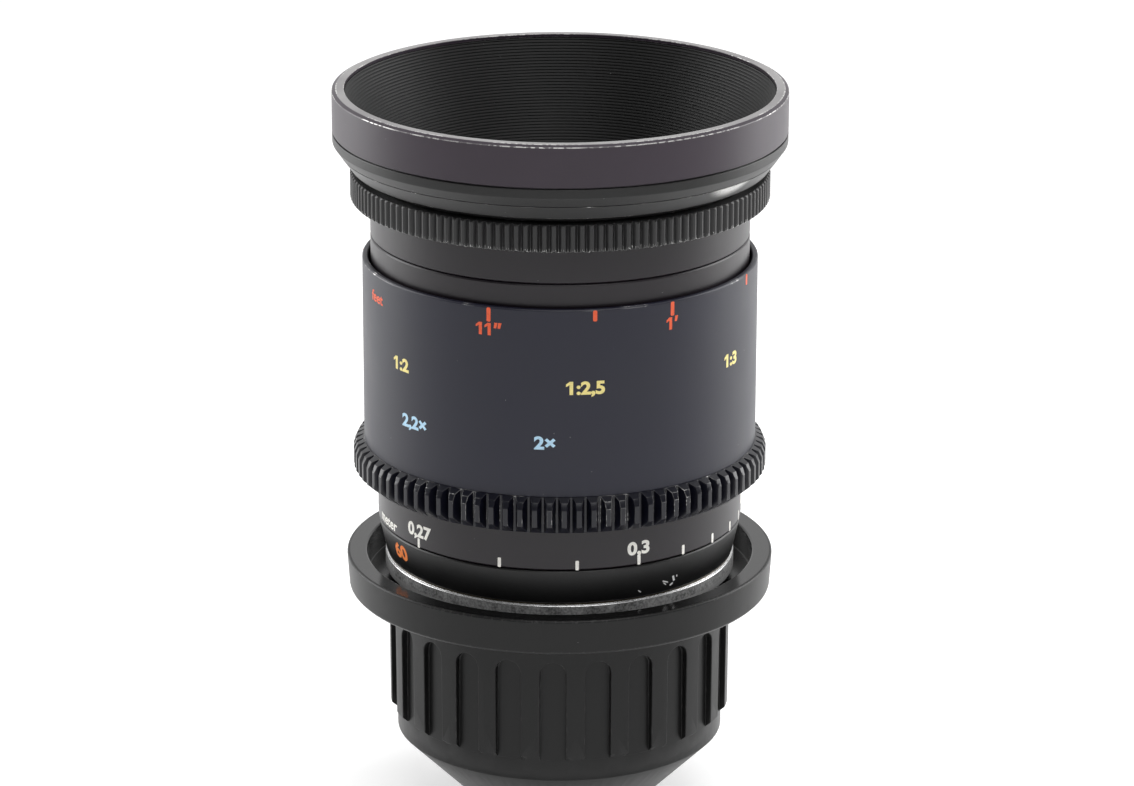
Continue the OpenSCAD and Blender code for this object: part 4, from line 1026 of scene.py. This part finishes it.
def wrapped(bm, turn, height, radius, flare=0):
    """Lays a flat drawing on a barrel, as a thin closed skin of paint. A cone has a flare."""
    reach = max(abs(v.co.x) for v in bm.verts)
    strips = math.ceil(reach / STRIP)
    for strip in range(-strips, strips + 1):
        bmesh.ops.bisect_plane(
            bm, geom=bm.verts[:] + bm.edges[:] + bm.faces[:],
            plane_co=(strip * STRIP, 0, 0), plane_no=(1, 0, 0), dist=TOUCHING,
        )
    bm.normal_update()
    bmesh.ops.reverse_faces(bm, faces=[f for f in bm.faces if f.normal.z < 0])
    bmesh.ops.solidify(bm, geom=bm.faces[:], thickness=INK)
    rises = sum(v.co.z for v in bm.verts) > 0
    for v in bm.verts:
        outside = (abs(v.co.z) > INK / 2) == rises
        level = PROUD if outside else PROUD - INK
        angle = turn - math.pi / 2 + v.co.x / radius
        r = radius + level + v.co.y * flare
        v.co = (r * math.cos(angle), r * math.sin(angle), height + v.co.y)
    bmesh.ops.recalc_face_normals(bm, faces=bm.faces)


def marks(name, drawings, radius, body, finish, flare=0):
    """One piece from many drawings: each is a flat bmesh, a turn and a height."""
    whole = bmesh.new()
    for bm, turn, height in drawings:
        wrapped(bm, turn, height, radius, flare)
        carrier = bpy.data.meshes.new("carrier")
        bm.to_mesh(carrier)
        bm.free()
        whole.from_mesh(carrier)
        bpy.data.meshes.remove(carrier)
    piece(name, whole, body, finish, smooth=False)


print("drawings can be wrapped")

# %% [markdown]
# ## The metre scale
# Metres are white on the scale ring under the gear. The dial's formula carries the scale on round
# the back, where the photograph doesn't show it, and the word stands where the photograph has it.

# %% Lay out the metre scale
METRE_TICK = (0.72 * MM, 2.1 * MM)
METRE_LABEL = 2.75 * MM
METRE_TICK_RISES = 1.1 * MM
METRE_LABEL_RISES = 3.85 * MM
METRE_WORD_PIXEL = (388, 520)
METRE_WORD_SPREAD = 1.25
WORD_HEIGHT = 2.3 * MM
WORD_BOLDNESS = 0.03
METRE_LABELS = {
    0.27: "0,27", 0.3: "0,3", 0.35: "0,35", 0.4: "0,4", 0.5: "0,5", 0.7: "0,7", 1: "1", 2: "2",
    math.inf: "∞",
}
METRE_TICKS = [
    0.27, 0.28, 0.29, 0.3, 0.31, 0.32, 0.33, 0.34, 0.35, 0.4, 0.45, 0.5, 0.6, 0.7, 1, 2, math.inf,
]

scale_foot, scale_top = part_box("metre_scale_ring")
scale_radius = scale_top.x
metre_tick_z = scale_foot.z + METRE_TICK_RISES
metre_label_z = scale_foot.z + METRE_LABEL_RISES
metre_drawings = [(flat_tick(*METRE_TICK), dial_turn(d), metre_tick_z) for d in METRE_TICKS]
metre_drawings += [
    (flat_text(words, METRE_LABEL), dial_turn(d), metre_label_z) for d, words in METRE_LABELS.items()
]
turn, height = photo_spot(METRE_WORD_PIXEL, scale_radius)
metre_word = flat_text("meter", WORD_HEIGHT, WORD_BOLDNESS, METRE_WORD_SPREAD)
metre_drawings.append((metre_word, turn, height))
marks("metre_scale_marks", metre_drawings, scale_radius, "focus", white_paint)

# %% [markdown]
# ## The foot scale
# Feet and inches are red along the top edge of the sleeve. The ticks between the numbers are
# shorter.

# %% Lay out the foot scale
FOOT_TICK = (0.86 * MM, 3.0 * MM)
SHORT_FOOT_TICK = (0.86 * MM, 2.3 * MM)
FOOT_LABEL = 2.5 * MM
FOOT_TICK_DROPS = 0.25 * MM
FOOT_LABEL_DROPS = 4.75 * MM
FOOT_WORD_PIXEL = (377, 297)
FOOT_WORD_SPREAD = 1.15
INCH = FOOT / 12
FOOT_LABELS = {
    11 * INCH: "11″", FOOT: "1′", 14 * INCH: "14″", 16 * INCH: "16″", 20 * INCH: "20″",
    2 * FOOT: "2′", 3 * FOOT: "3′", 5 * FOOT: "5′", math.inf: "∞",
}
BETWEEN_FEET = [11.5 * INCH, 13 * INCH, 15 * INCH, 18 * INCH]

sleeve_radius = sleeve_top.x
foot_tick_z = sleeve_top.z - FOOT_TICK_DROPS
foot_label_z = sleeve_top.z - FOOT_LABEL_DROPS
foot_drawings = [
    (flat_tick(*FOOT_TICK), dial_turn(d), foot_tick_z - FOOT_TICK[1] / 2) for d in FOOT_LABELS
]
foot_drawings += [
    (flat_tick(*SHORT_FOOT_TICK), dial_turn(d), foot_tick_z - SHORT_FOOT_TICK[1] / 2)
    for d in BETWEEN_FEET
]
foot_drawings += [
    (flat_text(words, FOOT_LABEL), dial_turn(d), foot_label_z) for d, words in FOOT_LABELS.items()
]
turn, height = photo_spot(FOOT_WORD_PIXEL, sleeve_radius)
foot_word = flat_text("feet", WORD_HEIGHT, WORD_BOLDNESS, FOOT_WORD_SPREAD)
foot_drawings.append((foot_word, turn, height))
marks("foot_scale_marks", foot_drawings, sleeve_radius, "focus", red_paint)

# %% [markdown]
# ## Ratios and exposure factors
# Reproduction ratios are yellow and exposure factors pale blue, in two rows below the feet. Those
# in the photograph sit where it shows them. A ratio belongs to a distance, so the dial's formula
# places the others.

# %% Lay out ratios and factors
RATIO_LABEL = 2.7 * MM
RATIOS_DROP = 16.6 * MM
FACTORS_DROP = 28.4 * MM
RATIO_PIXELS = {"1:2": (401, 364), "1:2,5": (586, 387), "1:3": (731, 359)}
FACTOR_PIXELS = {"2,2×": (414, 424), "2×": (545, 442)}
FAR_RATIOS = (4, 6, 10)

ratio_z = sleeve_top.z - RATIOS_DROP
factor_z = sleeve_top.z - FACTORS_DROP
ratio_drawings = [
    (flat_text(words, RATIO_LABEL), photo_spot(pixel, sleeve_radius)[0], ratio_z)
    for words, pixel in RATIO_PIXELS.items()
]
for ratio in FAR_RATIOS:
    away = FOCAL_LENGTH * (2 + ratio + 1 / ratio)
    ratio_drawings.append((flat_text(f"1:{ratio}", RATIO_LABEL), dial_turn(away), ratio_z))
factor_drawings = [
    (flat_text(words, RATIO_LABEL), photo_spot(pixel, sleeve_radius)[0], factor_z)
    for words, pixel in FACTOR_PIXELS.items()
]
marks("ratio_marks", ratio_drawings, sleeve_radius, "focus", yellow_paint)
marks("factor_marks", factor_drawings, sleeve_radius, "focus", blue_paint)

# %% [markdown]
# ## The marks on the tapered barrel
# The barrel under the scale is a cone, so a mark on it takes the radius at its own height and
# leans with the wall. The index line lies on the far side, where the dial's formula puts the
# distance that the lens is set to in the photograph.

# %% Mark the fixed barrel and the index
FOCAL_MARK_PIXEL = (401, 551)
FOCAL_MARK = 3.3 * MM
FOCAL_MARK_SPREAD = 1.2
REST_EXTENSION = 12 * MM
INDEX = (0.5 * MM, 3.0 * MM)
INDEX_DROPS = 2.0 * MM
CONE_LEAST = 36 * MM
CONE_MIDDLE = 38.1 * MM


def cone_at(height):
    """Radius and slope of the fixed barrel's cone at a height, from the corners above and below."""
    corners = {(v.co.z, v.co.xy.length) for v in nodes["fixed_barrel"].data.vertices}
    outer = [corner for corner in corners if corner[1] > CONE_LEAST]
    below = max(corner for corner in outer if corner[0] <= height)
    above = min((corner for corner in outer if corner[0] > height), key=lambda c: (c[0], -c[1]))
    slope = (above[1] - below[1]) / (above[0] - below[0])
    return below[1] + (height - below[0]) * slope, slope


def cone_mark(name, drawing, turn, height, finish):
    """One drawing as a piece of its own on the fixed barrel's cone."""
    radius, slope = cone_at(height)
    marks(name, [(drawing, turn, height)], radius, "lens", finish, slope)


turn, height = photo_spot(FOCAL_MARK_PIXEL, CONE_MIDDLE)
print("the mark sits at radius", round(cone_at(height)[0] / MM, 2), "mm")
focal_number = flat_text("60", FOCAL_MARK, spread=FOCAL_MARK_SPREAD)
cone_mark("focal_length_mark", focal_number, turn, height, orange_paint)
index_turn = INFINITY_TURN - REST_EXTENSION * TURN_PER_METRE
cone_mark("metre_index", flat_tick(*INDEX), index_turn, scale_foot.z - INDEX_DROPS, white_paint)

# %% [markdown]
# ## Nicks in the barrel
# Low on the right the barrel has been knocked, and a few short nicks show. Noise in the material
# gave a soft cloud there, so each nick is a small tilted tick instead, near-white and hardly
# metallic, so that its brightness is a painted glint of bare metal.
# The table gives each nick's pixel in the photograph, its width, its length and its tilt in degrees.

# %% Lay the nicks
NICKS = {
    "nick_1": ((674.6, 578.6), 0.50 * MM, 1.4 * MM, 22),
    "nick_2": ((666.6, 582.2), 0.28 * MM, 1.6 * MM, 68),
    "nick_3": ((666.2, 584.4), 0.22 * MM, 1.0 * MM, 50),
    "nick_4": ((673.2, 584.8), 0.42 * MM, 0.9 * MM, -60),
    "nick_5": ((677.6, 575.9), 0.25 * MM, 0.5 * MM, 15),
    "nick_6": ((641.0, 592.3), 0.25 * MM, 0.9 * MM, 50),
}
for name, (pixel, width, length, tilt) in NICKS.items():
    drawing = flat_tick(width, length)
    tilted = Matrix.Rotation(math.radians(tilt), 3, "Z")
    bmesh.ops.rotate(drawing, verts=drawing.verts, cent=(0, 0, 0), matrix=tilted)
    turn, height = photo_spot(pixel, CONE_MIDDLE)
    cone_mark(name, drawing, turn, height, glinting_nick)

# %% [markdown]
# ## The floor
# The photograph is a studio shot on white, and the floor keeps a faint soft shadow. A white floor
# under plain light would still come out grey, so it glows a little, but only for the camera and in
# mirror reflections, and lights nothing.

# %% Build the floor
FLOOR_RADIUS = 6.0
FLOOR_TONE = grey(0.80)
FLOOR_GLOW = 0.39
BLACK = grey(0)
WHITE = grey(1)

floor_bm = bmesh.new()
bmesh.ops.create_circle(floor_bm, cap_ends=True, segments=64, radius=FLOOR_RADIUS)
floor_mesh = bpy.data.meshes.new("floor")
floor_bm.to_mesh(floor_mesh)
floor_bm.free()
floor = bpy.data.objects.new("floor", floor_mesh)
scene.collection.objects.link(floor)

floor_white = Finish("floor_white")
seen = floor_white.node("LightPath", output="Is Camera Ray")
mirrored = floor_white.node("LightPath", output="Is Glossy Ray")
glow = floor_white.mix(seen.maths("MAXIMUM", mirrored), BLACK, WHITE)
floor_white.surface(
    Base_Color=FLOOR_TONE, Roughness=0.9, Specular_IOR_Level=0.0,
    Emission_Color=glow, Emission_Strength=FLOOR_GLOW,
)
floor_mesh.materials.append(floor_white.material)
print("floor laid")

# %% [markdown]
# ## The white surroundings
# The camera sees plain white behind the lens. The light itself is weaker in front and stronger
# behind, as from a lit backdrop, which draws the pale lines along both sides of the barrels. The
# world therefore mixes two backgrounds, one for the camera and one for the light.

# %% Light the surroundings
FRONT_LIGHT = 0.16
BACK_LIGHT = 0.95
BACK_STARTS = 0.0
BACK_FULL = 0.9

world = bpy.data.worlds.new("studio")
scene.world = world
studio = Recipe(world)
direction = studio.node("TexCoord", output="Generated")
backwards = studio.node("SeparateXYZ", None, [direction], "Y")
ramp = [backwards, BACK_STARTS, BACK_FULL, FRONT_LIGHT, BACK_LIGHT]
strength = studio.node("MapRange", {"interpolation_type": "SMOOTHSTEP"}, ramp)
lighting = studio.node("Background", None, {"Color": WHITE, "Strength": strength})
backdrop = studio.node("Background", None, {"Color": WHITE, "Strength": 1.0})
for_camera = studio.node("LightPath", output="Is Camera Ray")
choice = studio.node("MixShader", None, [for_camera, lighting, backdrop])
studio.node("OutputWorld", None, {"Surface": choice})
print("the world gives", FRONT_LIGHT, "from the front and", BACK_LIGHT, "from behind")

# %% [markdown]
# ## Soft boxes
# Two tall soft boxes stand left and right, a little behind the lens, and two weaker ones hang
# above it. Large area lights give the long soft highlights of a product photograph. The table
# gives each box's place, its width and height, and its power in watts.

# %% Place the soft boxes
MIDDLE = Vector((0, 0, 0.09))


def softbox(name, place, size, power):
    """A large soft area light that the camera doesn't see, aimed at the middle of the lens."""
    data = bpy.data.lights.new(name, "AREA")
    data.shape = "RECTANGLE"
    data.size, data.size_y = size
    data.energy = power
    made = bpy.data.objects.new(name, data)
    made.visible_camera = False
    scene.collection.objects.link(made)
    back = (Vector(place) - MIDDLE).normalized()
    made.matrix_world = Matrix.Translation(place) @ back.to_track_quat("Z", "Y").to_matrix().to_4x4()
    print(name, "gives", power, "watts")


SOFTBOXES = {
    "left_softbox": ((-0.75, 0.30, 0.35), (0.5, 0.9), 6),
    "right_softbox": ((0.75, 0.30, 0.35), (0.5, 0.9), 7),
    "top_softbox": ((0.1, -0.1, 1.0), (0.8, 0.8), 2),
    "front_softbox": ((0.15, -0.55, 0.95), (0.8, 0.8), 5),
}
for name, (place, size, power) in SOFTBOXES.items():
    softbox(name, place, size, power)
